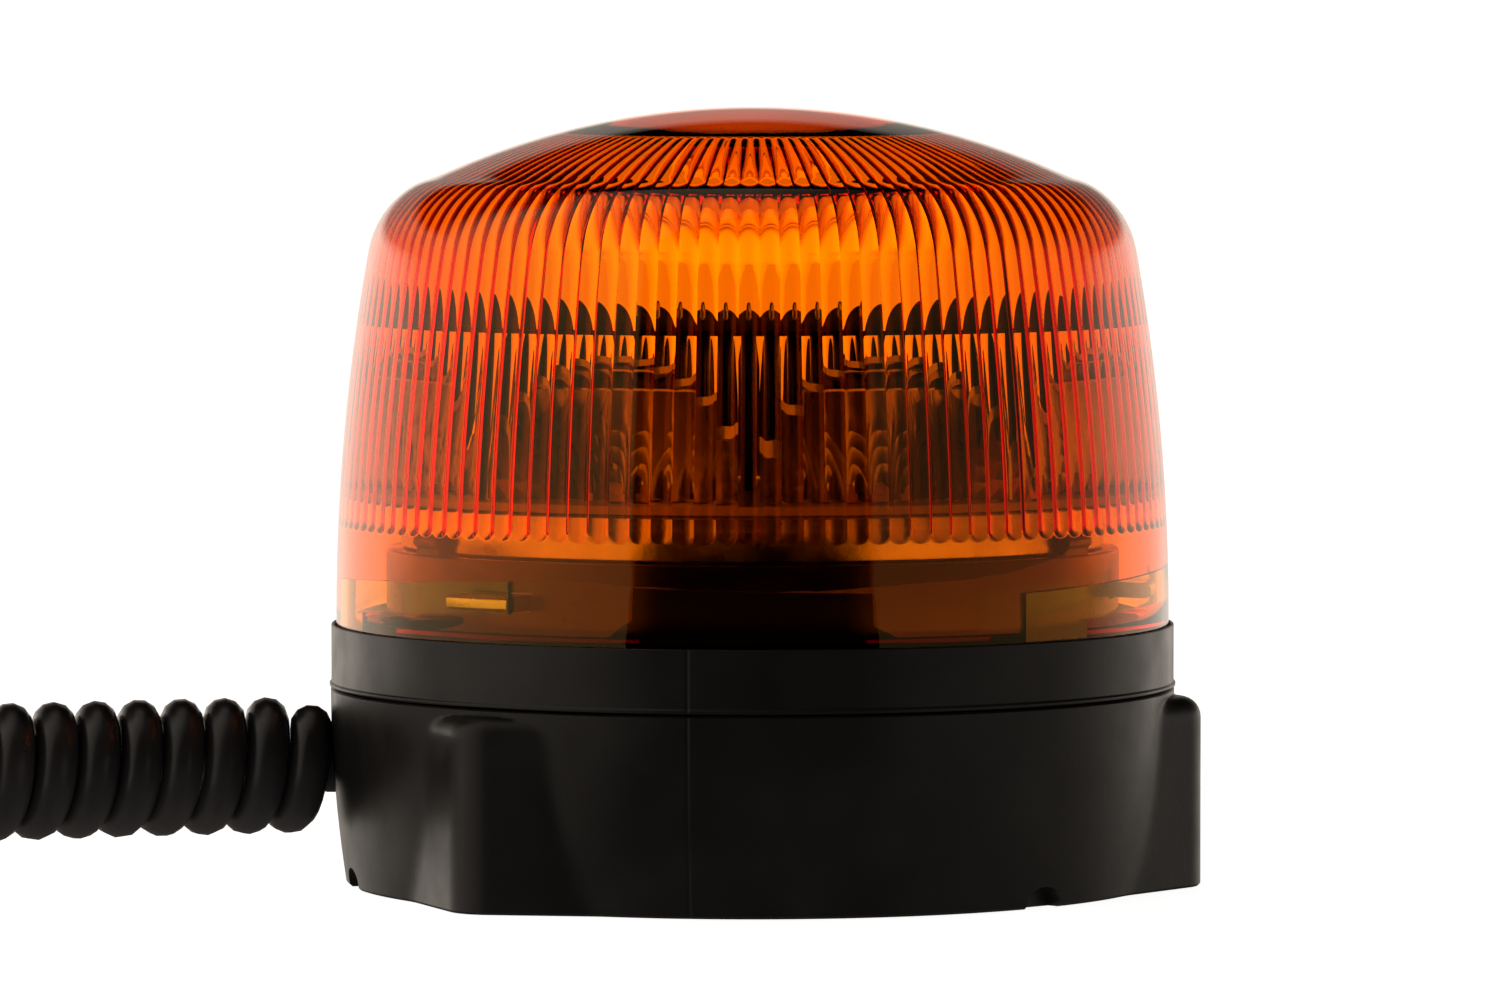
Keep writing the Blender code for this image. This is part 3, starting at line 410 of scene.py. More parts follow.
def make_lens():
    along, outer, normal = lens_profile()
    bearings = lens_columns()
    total = along[-1]

    def wall_at(z):
        """The distance along the profile at which the wall has a height."""
        return np.interp(-z, -outer[:, 1], along)

    def ring(s, depth=0.0):
        """Points at a distance s along the profile, a depth inside the outer side."""
        s, depth = np.broadcast_arrays(np.asarray(s, float), np.asarray(depth, float))
        r, z = (np.interp(s, along, outer[:, i]) for i in (0, 1))
        nr, nz = (np.interp(s, along, normal[:, i]) for i in (0, 1))
        radius = np.broadcast_to(r - nr * depth, bearings.shape)
        height = np.broadcast_to(z - nz * depth, bearings.shape)
        angles = np.radians(bearings)
        return np.stack([radius * np.sin(angles), -radius * np.cos(angles), height], 1)

    shoulder = np.interp(CAP_EDGE[0], outer[:, 0], along)
    wall = wall_at(SHOULDER_EDGE[1])
    outside = [*np.linspace(3, shoulder - 3, 12), *np.linspace(shoulder - 1.5, wall + 3, 22),
               *np.linspace(wall + 6, total - 0.3, 14), total]
    rings = [ring(s) for s in outside]
    edge = 0.3
    foot = [(WALL_FOOT[0], LEDGE + edge), (WALL_FOOT[0] - edge, LEDGE), (SKIRT_RADIUS, LEDGE),
            (SKIRT_RADIUS, SKIRT_BOTTOM + edge), (SKIRT_RADIUS - edge, SKIRT_BOTTOM),
            (SKIRT_INNER + edge, SKIRT_BOTTOM)]
    rings += [circle_of(r, z, bearings) for r, z in foot]

    place_in, entry = slot_place(bearings)
    inside_slot = ~np.isnan(place_in)
    gap = 120.0 - SLOT_SWEEP
    back = np.zeros(len(bearings))
    for bearing in BAYONET_BEARINGS:
        ahead = (bearings - bearing - SLOT_ENTRY / 2) % 360.0
        back = np.where(ahead < gap, 1 - ahead / gap, back)
    climb = np.where(inside_slot, np.nan_to_num(place_in), back)
    floor = SLOT_FLOOR - SLOT_RISE * (1 - climb)
    ceiling = floor + SLOT_HEIGHT

    def inner_ring(height, radius=None, pushed=None):
        """A ring on the plain inner side at heights, pushed out to the slot where asked."""
        height = np.broadcast_to(np.asarray(height, float), bearings.shape)
        s = wall_at(height)
        if radius is None:
            r = np.interp(s, along, outer[:, 0]) - WALL
        else:
            r = np.full(len(bearings), radius)
        if pushed is not None:
            r = np.where(pushed, SLOT_RADIUS, r)
        angles = np.radians(bearings)
        return np.stack([r * np.sin(angles), -r * np.cos(angles), height], 1)

    skirt = [(SKIRT_INNER, SKIRT_BOTTOM + edge), (SKIRT_INNER, 42.4), (SKIRT_INNER + 0.1, 42.5),
             (65.1, 43.6)]
    rings += [inner_ring(z, r, entry) for r, z in skirt]
    rings += [inner_ring(44.0, None, entry), inner_ring(floor - SLOT_EDGE, None, entry),
              inner_ring(floor + SLOT_EDGE, None, inside_slot),
              inner_ring(ceiling - SLOT_EDGE, None, inside_slot), inner_ring(ceiling + SLOT_EDGE),
              inner_ring(np.maximum(ceiling + 1.0, 54.0))]

    unit = 360.0 / FLUTES
    across = 2 * (((bearings - VALLEY_BEARING) / unit + 1e-6) % 1.0 - 0.5)
    end_foot = wall_at(FLUTE_FOOT)
    top = float(np.interp(FLUTE_TOP_RADIUS + WALL * 0.25, outer[:, 0], along))

    def flute_ring(s):
        """The inner side with its ribs; they end round at the foot and at the crown."""
        r = float(np.interp(s, along, outer[:, 0])) - WALL
        width = radians(unit) * max(r, 1.0)
        reach = np.minimum((end_foot - s) / (width / 2), (s - top) / (width / 2))
        off = np.hypot(across, np.clip(1 - reach, 0, None))
        slope = radians(np.interp(s, [shoulder, wall + 8.0], [CROWN_SLOPE, FLUTE_SLOPE]))
        ball = width / 2 / sin(slope)
        height = np.sqrt(ball ** 2 - (np.clip(off, 0, 1) * width / 2) ** 2) - ball * cos(slope)
        return ring(s, WALL + height)

    half = radians(unit) * FLUTE_FOOT_RADIUS / 2
    stations = [end_foot + 0.15, end_foot]
    stations += [end_foot - half * (1 - cos(t)) for t in np.linspace(0.25, pi / 2, 7)]
    stations += list(np.linspace(end_foot - half - 1.5, wall + 2.0, 14))
    stations += list(np.linspace(wall, shoulder - 1.0, 16))
    half_top = radians(unit) * FLUTE_TOP_RADIUS / 2
    stations += list(np.linspace(shoulder - 3.0, top + half_top + 1.0, 7))
    stations += [top + half_top * (1 - cos(t)) for t in np.linspace(pi / 2, 0.3, 5)]
    stations += [top, top - 0.2, top * 0.7, top * 0.4, top * 0.15]
    rings += [flute_ring(s) for s in stations]
    mesh = ring_solid("lens", rings, (0, 0, HOOD_TOP), (0, 0, HOOD_TOP - WALL))
    tidy(mesh, 30.0)
    show("lens", mesh, AMBER, "hood", "amber_lens", "lens_hood")


# ---- lead -----------------------------------------------------------------
SPIRAL_ROUTE = (
    (-71.8, -0.5, 19.0), (-80.0, -2.7, 19.0), (-95.0, -7.1, 19.0),
    (-110.0, -12.1, 19.0), (-125.0, -17.5, 18.9), (-145.0, -24.4, 17.9),
    (-170.0, -31.4, 15.2), (-200.0, -37.0, 12.5), (-235.0, -40.2, 11.5),
    (-265.0, -41.2, 11.5), (-293.0, -40.0, 11.5), (-325.5, -30.0, 11.5),
    (-343.5, -8.0, 11.5), (-342.5, 15.0, 11.5), (-327.5, 33.0, 11.5),
    (-303.5, 40.0, 11.5),
)
TAIL_ROUTE = (
    (-302.4, 40.2, 11.4), (-296.0, 40.9, 10.2), (-287.0, 41.9, 7.2),
    (-277.0, 42.4, 4.9), (-266.0, 41.8, 5.0), (-257.0, 40.8, 7.8),
    (-247.5, 40.1, 11.2), (-238.3, 40.0, 12.1),
)
LEAD_EXIT = (-70.4, 0.0, 19.0)
LEAD_START = (LEAD_EXIT, (-70.9, 1.6, 19.2), (-71.3, 3.5, 20.5), (-71.6, 4.8, 22.4))
CORD_RADIUS = 3.45
COIL_RADIUS = 7.8
COIL_PITCH = 7.13
COIL_START = -45.0             # where the first turn begins, in degrees from the top
COIL_CLOSES_OVER = 12.0        # of its axis, at the far end
COIL_STOPS_OVER = 8.0          # the same for its turning
LEAD_STEP = 0.3


def smooth_route(corners, spacing):
    """Points at an even spacing on a smooth curve through the route's corners."""
    points = [Vector(corner) for corner in corners]
    points = [points[0] * 2 - points[1], *points, points[-1] * 2 - points[-2]]
    dense = []
    parts = 24
    for i in range(1, len(points) - 2):
        before, start, end, after = points[i - 1:i + 3]
        for j in range(parts):
            t = j / parts
            dense.append(0.5 * (2 * start + (end - before) * t
                                + (2 * before - 5 * start + 4 * end - after) * t ** 2
                                + (3 * start - before - 3 * end + after) * t ** 3))
    dense.append(points[-2])
    total = sum((b - a).length for a, b in zip(dense, dense[1:]))
    step = total / round(total / spacing)
    even = [dense[0]]
    travelled = 0.0
    for a, b in zip(dense, dense[1:]):
        length = (b - a).length
        while travelled + length >= step * len(even) - 1e-6:
            even.append(a.lerp(b, (step * len(even) - travelled) / length))
        travelled += length
    even[-1] = points[-2]
    return even


def coil_line():
    """The lead's own centreline: out of the gland, round the coil and on to the plug."""
    axis = smooth_route(SPIRAL_ROUTE, LEAD_STEP)
    count = len(axis)
    runs = [(axis[min(i + 1, count - 1)] - axis[max(i - 1, 0)]).normalized() for i in range(count)]
    reach = 20
    line = []
    turn = radians(COIL_START)
    side = Vector((0, -1, 0))
    for i, spot in enumerate(axis):
        side = (side - runs[i] * side.dot(runs[i])).normalized()
        up = runs[i].cross(side).normalized()
        up = up if up.z > 0 else -up
        first, last = max(i - reach, 0), min(i + reach, count - 1)
        bend = runs[first].angle(runs[last]) / (LEAD_STEP * (last - first))
        pitch = max(COIL_PITCH, 1.015 * 2 * CORD_RADIUS / (1 - COIL_RADIUS * bend))
        left = (count - 1 - i) * LEAD_STEP
        radius = COIL_RADIUS * sin(pi / 2 * min(1.0, left / COIL_CLOSES_OVER))
        line.append(spot + (up * cos(turn) + side * sin(turn)) * radius)
        turn += 2 * pi * LEAD_STEP / pitch * min(1.0, left / COIL_STOPS_OVER)
    line = [Vector(point) for point in LEAD_START] + line
    tail = smooth_route(TAIL_ROUTE, 2.0)[1:]
    join = len(line)
    line += tail
    for _ in range(12):        # eases the bends at both ends of the coil
        for i in [*range(2, 9), *range(join - 30, join + 3)]:
            line[i] = (line[i - 1] + line[i] * 2 + line[i + 1]) / 4
    return line


def make_cord(plug):
    curve = bpy.data.curves.new("cord", "CURVE")
    curve.dimensions = "3D"
    curve.bevel_depth = CORD_RADIUS * MM
    curve.bevel_resolution = 4
    curve.use_fill_caps = True
    line = coil_line()
    spline = curve.splines.new("POLY")
    spline.points.add(len(line) - 1)
    spline.points.foreach_set("co", [c for p in line for c in (*(p * MM), 1.0)])
    spline.use_smooth = True
    made = bpy.data.objects.new("cord", curve)
    bpy.context.scene.collection.objects.link(made)
    curve.materials.append(CORD_BLACK)
    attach(made, "lamp")
    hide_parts("cord_spiral", "cord_tail")


# ---- foot and collar ------------------------------------------------------
SEAM_BEARING = -8.5            # the mould's parting line
LOBE_BEARINGS = (-38.0, 82.0, 202.0)
SCREW_BEARINGS = (8.0, 128.0, 248.0)
CATCH_BEARINGS = (-60.0, 60.0, 180.0)
FOOT_SIDE = np.array(arc((69.1, 32.0), (66.6, 0.0), 210.0, 32))
LOBE_APOTHEM = 64.9
LOBE_CORNER = 8.0
LOBE_TOP = 30.9
LOBE_FILLET = 3.3
LOBE_BLEND = 0.5               # how far the bowl eases into a lobe
NOTCH_OFFSET = -38.2           # from each lobe
NOTCH_HALF_WIDTH = 3.75
NOTCH_HEAD = (1.2, 2.2)        # where the round head starts, and its height
MAGNET_RING = 54.0
MAGNET_BOSS_RADIUS = 16.9
MAGNET_SEAT_RADIUS = 14.8
MAGNET_SEAT_TOP = 8.3
SCREW_RING = 50.0
SCREW_POST_RADIUS = 5.6
SCREW_HOLE_RADIUS = 2.0
SCREW_HEAD_HOLE = (4.2, 4.6)   # radius and depth
DRIVER_POST_RADIUS = 2.6
DRIVER_POSTS = (24, 18)        # how far each stands from the middle, in x and y
CLAMP_SEAT = (8.0, 20.0)
CLAMP_SEAT_X = -50.0
VENT_PLACE = (22.0, 40.0)
VENT_HOLE_RADIUS = 4.0
LEAD_HOLE_RADIUS = 4.9
INSIDE_FLOOR = 1.6             # a height within the floor, from which bosses are fused
LEAD_AXIS = Matrix.Rotation(pi / 2, 4, "Y")


def side_columns(count):
    """Bearings round the lamp, close together at the parting line."""
    even = np.arange(count) * 360.0 / count - 180.0
    seam = SEAM_BEARING + np.array([-0.26, -0.1, 0.1, 0.26])
    return np.sort(np.concatenate([even[np.abs(even - SEAM_BEARING) > 0.3], seam]))


def seam_of(bearings):
    """How deep the parting line is at each bearing."""
    return np.where(np.abs(bearings - SEAM_BEARING) < 0.15, 0.1, 0.0)


def foot_ring(bearings, height, inset=0.0, lobes=True, shrink=0.0):
    """The foot's outer side at a height: a bowl with three rounded corners."""
    bowl = np.interp(-height, -FOOT_SIDE[:, 1], FOOT_SIDE[:, 0]) - seam_of(bearings)
    off = np.abs((bearings[:, None] - np.array(LOBE_BEARINGS) + 180) % 360 - 180).min(1)
    off = np.radians(off)
    centre = (LOBE_APOTHEM - LOBE_CORNER) / cos(radians(30))
    small = LOBE_CORNER - inset
    face = (LOBE_APOTHEM - inset) / np.cos(np.clip(radians(30) - off, 0, None))
    bend = centre * np.cos(off) + np.sqrt(np.clip(small ** 2 - (centre * np.sin(off)) ** 2, 0, None))
    limit = atan2(small * sin(radians(30)), centre + small * cos(radians(30)))
    lobe = np.where(off < limit, bend, face)
    near = np.clip(LOBE_BLEND - np.abs(bowl - lobe), 0, None) ** 2 / (4 * LOBE_BLEND)
    radius = np.maximum(bowl, lobe) + near if lobes else bowl
    return circle_of(radius - shrink, height, bearings)


def slab(outline, low, high):
    """A flat outline of (x, y) raised between two heights."""
    count = len(outline)
    points = [Vector((x, y, z)) * MM for z in (low, high) for x, y in outline]
    faces = [tuple(range(count))[::-1], tuple(range(count, 2 * count))]
    faces += [(i, (i + 1) % count, count + (i + 1) % count, count + i) for i in range(count)]
    mesh = bpy.data.meshes.new("slab")
    mesh.from_pydata(points, [], faces)
    return tidy(mesh)


def oblong(width, depth, low, high, x):
    """An upright block whose middle is at x."""
    w, d = width / 2, depth / 2
    return slab([(x - w, -d), (x + w, -d), (x + w, d), (x - w, d)], low, high)


def notch(bearing):
    """A doorway in the bottom rim, its head round."""
    spring, rise = NOTCH_HEAD
    half = NOTCH_HALF_WIDTH
    outline = [(half * cos(pi * i / 12), spring + rise * sin(pi * i / 12)) for i in range(13)]
    outline += [(-half, -1.0), (half, -1.0)]
    upright = Matrix.Rotation(pi / 2, 4, "Z") @ Matrix.Rotation(pi / 2, 4, "X")
    return at(moved(slab(outline, 64.0, 74.0), upright), bearing, 0)


def make_foot():
    bearings = side_columns(720)
    rings = [circle_of(r, z, bearings) for r, z in
             ((63.0, 3.2), (64.6, 3.6), (66.4, 8.6), (66.5, 9.2), (66.5, 31.7), (66.8, 32.0))]
    rings += [foot_ring(bearings, 32.0, lobes=False, shrink=0.3),
              foot_ring(bearings, 31.7, lobes=False), foot_ring(bearings, 31.0, lobes=False)]
    for turn in np.linspace(0, pi / 2, 8):
        rings.append(foot_ring(bearings, LOBE_TOP - LOBE_FILLET * (1 - cos(turn)),
                               LOBE_FILLET * (1 - sin(turn))))
    rings += [foot_ring(bearings, z) for z in (26.5, 24, 21, 18, 15, 12, 9, 6, 4, 2.4, 1.2, 0.4)]
    rings.append(foot_ring(bearings, 0.0, shrink=0.4))
    rings += [circle_of(r, z, bearings) for r, z in
              ((62.3, 0.0), (62.0, 0.3), (62.0, 0.9), (61.7, 1.2), (11.3, 1.2), (11.0, 0.9),
               (11.0, 0.3), (10.7, 0.0))]
    foot = ring_solid("foot", rings, (0, 0, 3.2), (0, 0, 0))
    tidy(foot)
    bosses = [at(drum(MAGNET_BOSS_RADIUS, INSIDE_FLOOR, 10.6, 64), b, MAGNET_RING)
              for b in LOBE_BEARINGS]
    bosses += [at(drum(SCREW_POST_RADIUS, INSIDE_FLOOR, 31.7), b, SCREW_RING)
               for b in SCREW_BEARINGS]
    post_x, post_y = DRIVER_POSTS
    bosses += [moved(drum(DRIVER_POST_RADIUS, INSIDE_FLOOR, 9.7),
                     Matrix.Translation(Vector((x, y, 0)) * MM))
               for x in (-post_x, post_x) for y in (-post_y, post_y)]
    bosses.append(oblong(*CLAMP_SEAT, INSIDE_FLOOR, 13.2, CLAMP_SEAT_X))
    foot = carve(foot, joined("bosses", bosses), "UNION")
    wide, deep = SCREW_HEAD_HOLE
    stepped = [(0, 33), (SCREW_HOLE_RADIUS, 33), (SCREW_HOLE_RADIUS, deep), (wide, deep),
               (wide, -2.5), (0, -2.5)]
    holes = [at(turned("hole", stepped, 32, False), b, SCREW_RING) for b in SCREW_BEARINGS]
    holes += [at(drum(MAGNET_SEAT_RADIUS, -2.0, MAGNET_SEAT_TOP, 64), b, MAGNET_RING)
              for b in LOBE_BEARINGS]
    holes += [notch(b + NOTCH_OFFSET) for b in LOBE_BEARINGS]
    holes.append(at(drum(VENT_HOLE_RADIUS, -1.0, 4.2), *VENT_PLACE))
    lead = Matrix.Translation(Vector((-75.0, 0, 19.0)) * MM) @ LEAD_AXIS
    holes.append(moved(drum(LEAD_HOLE_RADIUS, 0.0, 15.0), lead))
    foot = tidy(carve(foot, joined("holes", holes)), 30.0)
    show("foot", foot, HOUSING_BLACK, "lamp", "black_housing", "foot_shell")


def seamed(name, outline):
    """A turned ring whose outer side, beyond a radius, carries the parting line."""
    bearings = side_columns(360)
    outer_side = 67.0
    return tidy(ring_solid(name, [circle_of(r - seam_of(bearings) * (r > outer_side), z, bearings)
                                  for r, z in rounded(outline)], wrap=True))


def make_collar():
    collar = seamed("collar", [
        (69.0, 42.4, 0.24), (69.0, 33.1, 0.3), (69.3, 32.8, 0.15), (69.3, 32.3, 0.15),
        (63.3, 32.3), (63.3, 29.5, 0.4), (61.2, 29.5, 0.4), (61.2, 32.3), (8.0, 32.3),
        (8.0, 34.8), (66.7, 34.8), (66.7, 39.3), (68.5, 39.3), (68.5, 42.4, 0.24)])
    holes = joined("holes", [at(drum(SCREW_HOLE_RADIUS, 31.0, 36.0), b, SCREW_RING)
                             for b in SCREW_BEARINGS])
    show("collar", tidy(carve(collar, holes)), HOUSING_BLACK, "lamp", "black_housing",
         "lamp_housing")
    show("foot_gasket", turned("foot_gasket", [(66.2, 32.0, 0.6), (66.2, 29.5, 0.6),
                                               (63.6, 29.5, 0.6), (63.6, 32.0, 0.6)]),
         RUBBER_BLACK, "lamp", "black_rubber", "foot_seal")
    show("hood_gasket", turned("hood_gasket", [(66.0, 36.1, 0.4), (66.0, 35.1, 0.3),
                                               (64.2, 35.1, 0.3), (64.2, 36.1, 0.4)]),
         RUBBER_BLACK, "hood", "black_rubber", "hood_seal")


def sector(outline, start, end):
    """A rounded outline of (r, z) swept round the axis, its ends closed."""
    steps = 10
    points = rounded(outline)
    count = len(points)
    spots = [place(bearing, r, z) for bearing in np.linspace(start, end, steps + 1)
             for r, z in points]
    faces = [(i * count + j, i * count + (j + 1) % count, (i + 1) * count + (j + 1) % count,
              (i + 1) * count + j) for i in range(steps) for j in range(count)]
    faces += [tuple(range(count)), tuple(range(steps * count, (steps + 1) * count))]
    mesh = bpy.data.meshes.new("sector")
    mesh.from_pydata(spots, [], faces)
    return tidy(mesh)


# ---- inside the hood ------------------------------------------------------
DISH_COUNT = 8
DISH_PLACE = 54.6
DISH_HALF_WIDTH = 21.8
DISH_HEIGHT = 23.1
DISH_DEPTH = 10.0
BOARD_TOP = 64.5
LEDGES = (20.7, 17.7)          # heights of the bright steps in each dish
EMITTER_RING = 50.0
SPRING_HALF_SWEEP = 5.5        # degrees
CATCH_HALF_SWEEP = 3.6


def make_carrier():
    carrier = turned("carrier", [(60.0, 55.0, 0.5), (60.0, 35.1, 0.4), (57.6, 35.1), (57.6, 52.8, 1.0),
                                 (10.0, 52.8), (10.0, 55.0, 0.4)], 240)
    fused = [at(drum(4.5, 35.1, 53.8), b, SCREW_RING) for b in SCREW_BEARINGS]
    catch = [(57.9, 53.6), (57.9, 58.8, 0.5), (58.9, 58.8, 0.4), (59.8, 57.4, 0.3), (59.8, 56.7, 0.2),
             (59.2, 56.0, 0.2), (59.2, 53.6)]
    fused += [sector(catch, b - CATCH_HALF_SWEEP, b + CATCH_HALF_SWEEP) for b in CATCH_BEARINGS]
    carrier = carve(carrier, joined("fused", fused), "UNION")
    window = [(56.6, 46.95), (56.6, 50.05), (61.0, 50.05), (61.0, 46.95)]
    holes = [sector(window, b - 5.9, b + 5.9) for b in BAYONET_BEARINGS]
    holes += [at(drum(SCREW_HOLE_RADIUS, 34.0, 48.0), b, SCREW_RING) for b in SCREW_BEARINGS]
    carrier = tidy(carve(carrier, joined("holes", holes)), 30.0)
    show("carrier", carrier, INNER_BLACK, "lamp", "black_inner", "board_carrier")
    tongue = [(56.4, 47.3), (56.4, 49.7), (65.0, 49.7, 0.3), (66.1, 49.2, 0.5), (66.1, 47.8, 0.5),
              (65.4, 47.3, 0.3)]
    plate = [(55.6, 44.1, 0.5), (55.6, 52.3, 0.5), (57.0, 52.3, 0.5), (57.0, 44.1, 0.5)]
    for number, b in enumerate(BAYONET_BEARINGS, start=1):
        clip = carve(sector(tongue, b - SPRING_HALF_SWEEP, b + SPRING_HALF_SWEEP),
                     sector(plate, b - 6.5, b + 6.5), "UNION")
        show(f"spring_clip_{number}", tidy(clip, 30.0), ZINC, "lamp", "zinc_steel",
             f"bayonet_clip_{number}")


def dish_mesh():
    """Half of a faceted dish that opens along +X and stands on its cut edge."""
    rings, turns = 12, 20
    points, faces = [], []
    for wall in (0.0, 1.0):
        for i in range(rings):
            n = sin(pi / 2 * (1 - i / rings))
            for j in range(turns + 1):
                a = pi * j / turns
                points.append((-(DISH_DEPTH - wall) * (1 - n * n),
                               (DISH_HALF_WIDTH - wall) * n * cos(a),
                               (DISH_HEIGHT - wall) * n * sin(a)))
    row = turns + 1
    inner = rings * row
    tips = len(points)
    points += [(-DISH_DEPTH, 0, 0), (-(DISH_DEPTH - 1.0), 0, 0)]
    for i in range(rings - 1):
        for j in range(turns):
            a = i * row + j
            quad = (a, a + 1, a + row + 1, a + row)
            faces += [quad, tuple(v + inner for v in quad[::-1])]
        for j in (0, turns):
            a = i * row + j
            faces.append((a, a + row, a + row + inner, a + inner))
    last = (rings - 1) * row
    for j in range(turns):
        faces += [(j, j + 1, j + 1 + inner, j + inner), (last + j, last + j + 1, tips),
                  (last + j + inner, last + j + 1 + inner, tips + 1)]
    for j in (0, turns):
        faces.append((last + j, last + j + inner, tips + 1, tips))
    mesh = bpy.data.meshes.new("dish")
    mesh.from_pydata([Vector(p) * MM for p in points], [], faces)
    tidy(mesh, 4.0)
    pieces = [mesh]
    width, height, depth = DISH_HALF_WIDTH - 0.8, DISH_HEIGHT - 0.8, DISH_DEPTH - 0.8
    for level in LEDGES:
        reach = width * sqrt(1 - (level / height) ** 2)
        back = [(-depth * (1 - (y / width) ** 2 - (level / height) ** 2), y)
                for y in np.linspace(-reach, reach, 13)]
        front = [(-0.4, reach * 0.92), (-0.4, -reach * 0.92)]
        pieces.append(slab(back + front, level - 0.18, level + 0.18))
    return joined("dish", pieces)


def make_light_unit():
    sink = [(57.5, 62.5, 0.5), (57.5, 55.3, 0.3), (54.5, 55.3, 0.3), (54.5, 59.5, 1.5), (6.0, 59.5),
            (6.0, 62.5, 0.3)]
    show("sink", turned("sink", sink, 240), CAST, "lamp", "cast_aluminium", "heat_sink")
    board = [(60.0, 64.2, 0.15), (60.0, 62.8, 0.15), (5.0, 62.8), (5.0, 64.2)]
    show("board", turned("board", board, 240), BOARD_WHITE, "lamp", "circuit_board", "led_board")
    post = [(13.0, 90.6, 0.5), (13.0, 64.5, 0.5), (10.8, 64.5), (10.8, 87.1), (2.0, 87.1),
            (2.0, 90.6)]
    show("post", turned("post", post, 96), INNER_BLACK, "lamp", "black_inner", "column")
    shade = [(60.9, 91.7, 0.2), (60.9, 90.9, 0.2), (2.0, 90.9), (2.0, 91.7)]
    show("shade", turned("shade", shade, 240), DISC_BLACK, "lamp", "black_inner", "shade_disc")
    lamp_outline = [(0, 67.4), (0.9, 67.3), (1.6, 66.9), (2.1, 66.3), (2.3, 65.6), (3.2, 65.6, 0.2),
                    (3.2, 64.5), (0, 64.5)]
    for i in range(DISH_COUNT):
        bearing = 360.0 / DISH_COUNT * (i + 0.5)
        lift = Matrix.Translation((0, 0, BOARD_TOP * MM))
        show(f"dish_{i + 1}", at(moved(dish_mesh(), lift), bearing, DISH_PLACE), CHROME, "lamp",
             "reflector_chrome", f"reflector_{i + 1}")
        emitter = at(turned("emitter", lamp_outline, 40, False), bearing, EMITTER_RING)
        show(f"emitter_{i + 1}", emitter, EMITTER, "lamp", "led_emitter", f"led_{i + 1}")


def screw(seat, crown, tip):
    """A pan head screw with a cross recess."""
    side = 1 if crown > seat else -1
    outline = [(0, crown), (2.2, crown - side * 0.15), (3.1, crown - side * 0.6),
               (3.7, crown - side * 1.4), (3.7, seat), (1.7, seat), (1.7, tip), (0, tip)]
    half, slot = 1.6, 0.4
    cross = [(half, -slot), (half, slot), (slot, slot), (slot, half), (-slot, half),
             (-slot, slot), (-half, slot), (-half, -slot), (-slot, -slot), (-slot, -half),
             (slot, -half), (slot, -slot)]
    low, high = sorted((crown + side * 1.7, crown - side * 1.3))
    return tidy(carve(turned("screw", outline, 48, False), slab(cross, low, high)), 30.0)


def make_small_pieces():
    show("disc_fixing", screw(92.0, 94.6, 84.0), ZINC, "lamp", "zinc_steel", "disc_screw")
    cup = [(0, 8.0), (14.5, 8.0, 0.9), (14.5, 0.0, 0.2), (12.9, 0.0, 0.2), (12.9, 6.4), (0, 6.4)]
    core = [(0, 6.1), (12.6, 6.1), (12.6, 0.0, 0.3), (0, 0.0)]
    for number in (1, 2, 3):
        fixing = at(screw(4.3, 1.7, 46.0), SCREW_BEARINGS[number - 1], SCREW_RING)
        show(f"foot_fixing_{number}", fixing, ZINC, "lamp", "zinc_steel", f"foot_screw_{number}")
        lobe = LOBE_BEARINGS[number - 1]
        show(f"pot_{number}", at(turned("pot", cup, 96, False), lobe, MAGNET_RING), ZINC, "lamp",
             "zinc_steel", f"magnet_cup_{number}")
        show(f"ferrite_{number}", at(turned("ferrite", core, 96, False), lobe, MAGNET_RING),
             MAGNET_GREY, "lamp", "ferrite", f"magnet_{number}")
    vent = [(0, 5.1), (5.2, 5.1, 0.5), (5.2, 3.5, 0.2), (3.7, 3.5), (3.7, 1.4, 0.3), (0, 1.4)]
    show("vent", at(turned("vent", vent, 48, False), *VENT_PLACE), RUBBER_BLACK, "lamp",
         "black_rubber", "vent_plug")
    gland = [(0, 7.4), (4.4, 7.4, 0.3), (4.6, 5.9), (6.6, 5.9, 0.4), (6.6, 3.4, 0.4), (4.6, 3.4),
             (4.6, -1.4, 0.5), (0, -1.4)]
    spot = Matrix.Translation(Vector((-68.9, 0, 19.0)) * MM) @ LEAD_AXIS
    show("gland", moved(turned("gland", gland, 64, False), spot), RUBBER_BLACK, "lamp",
         "black_rubber", "cord_gland")


# ---- plug -----------------------------------------------------------------
PLUG_REAR = Vector((-238.0, 40.0, 12.1))


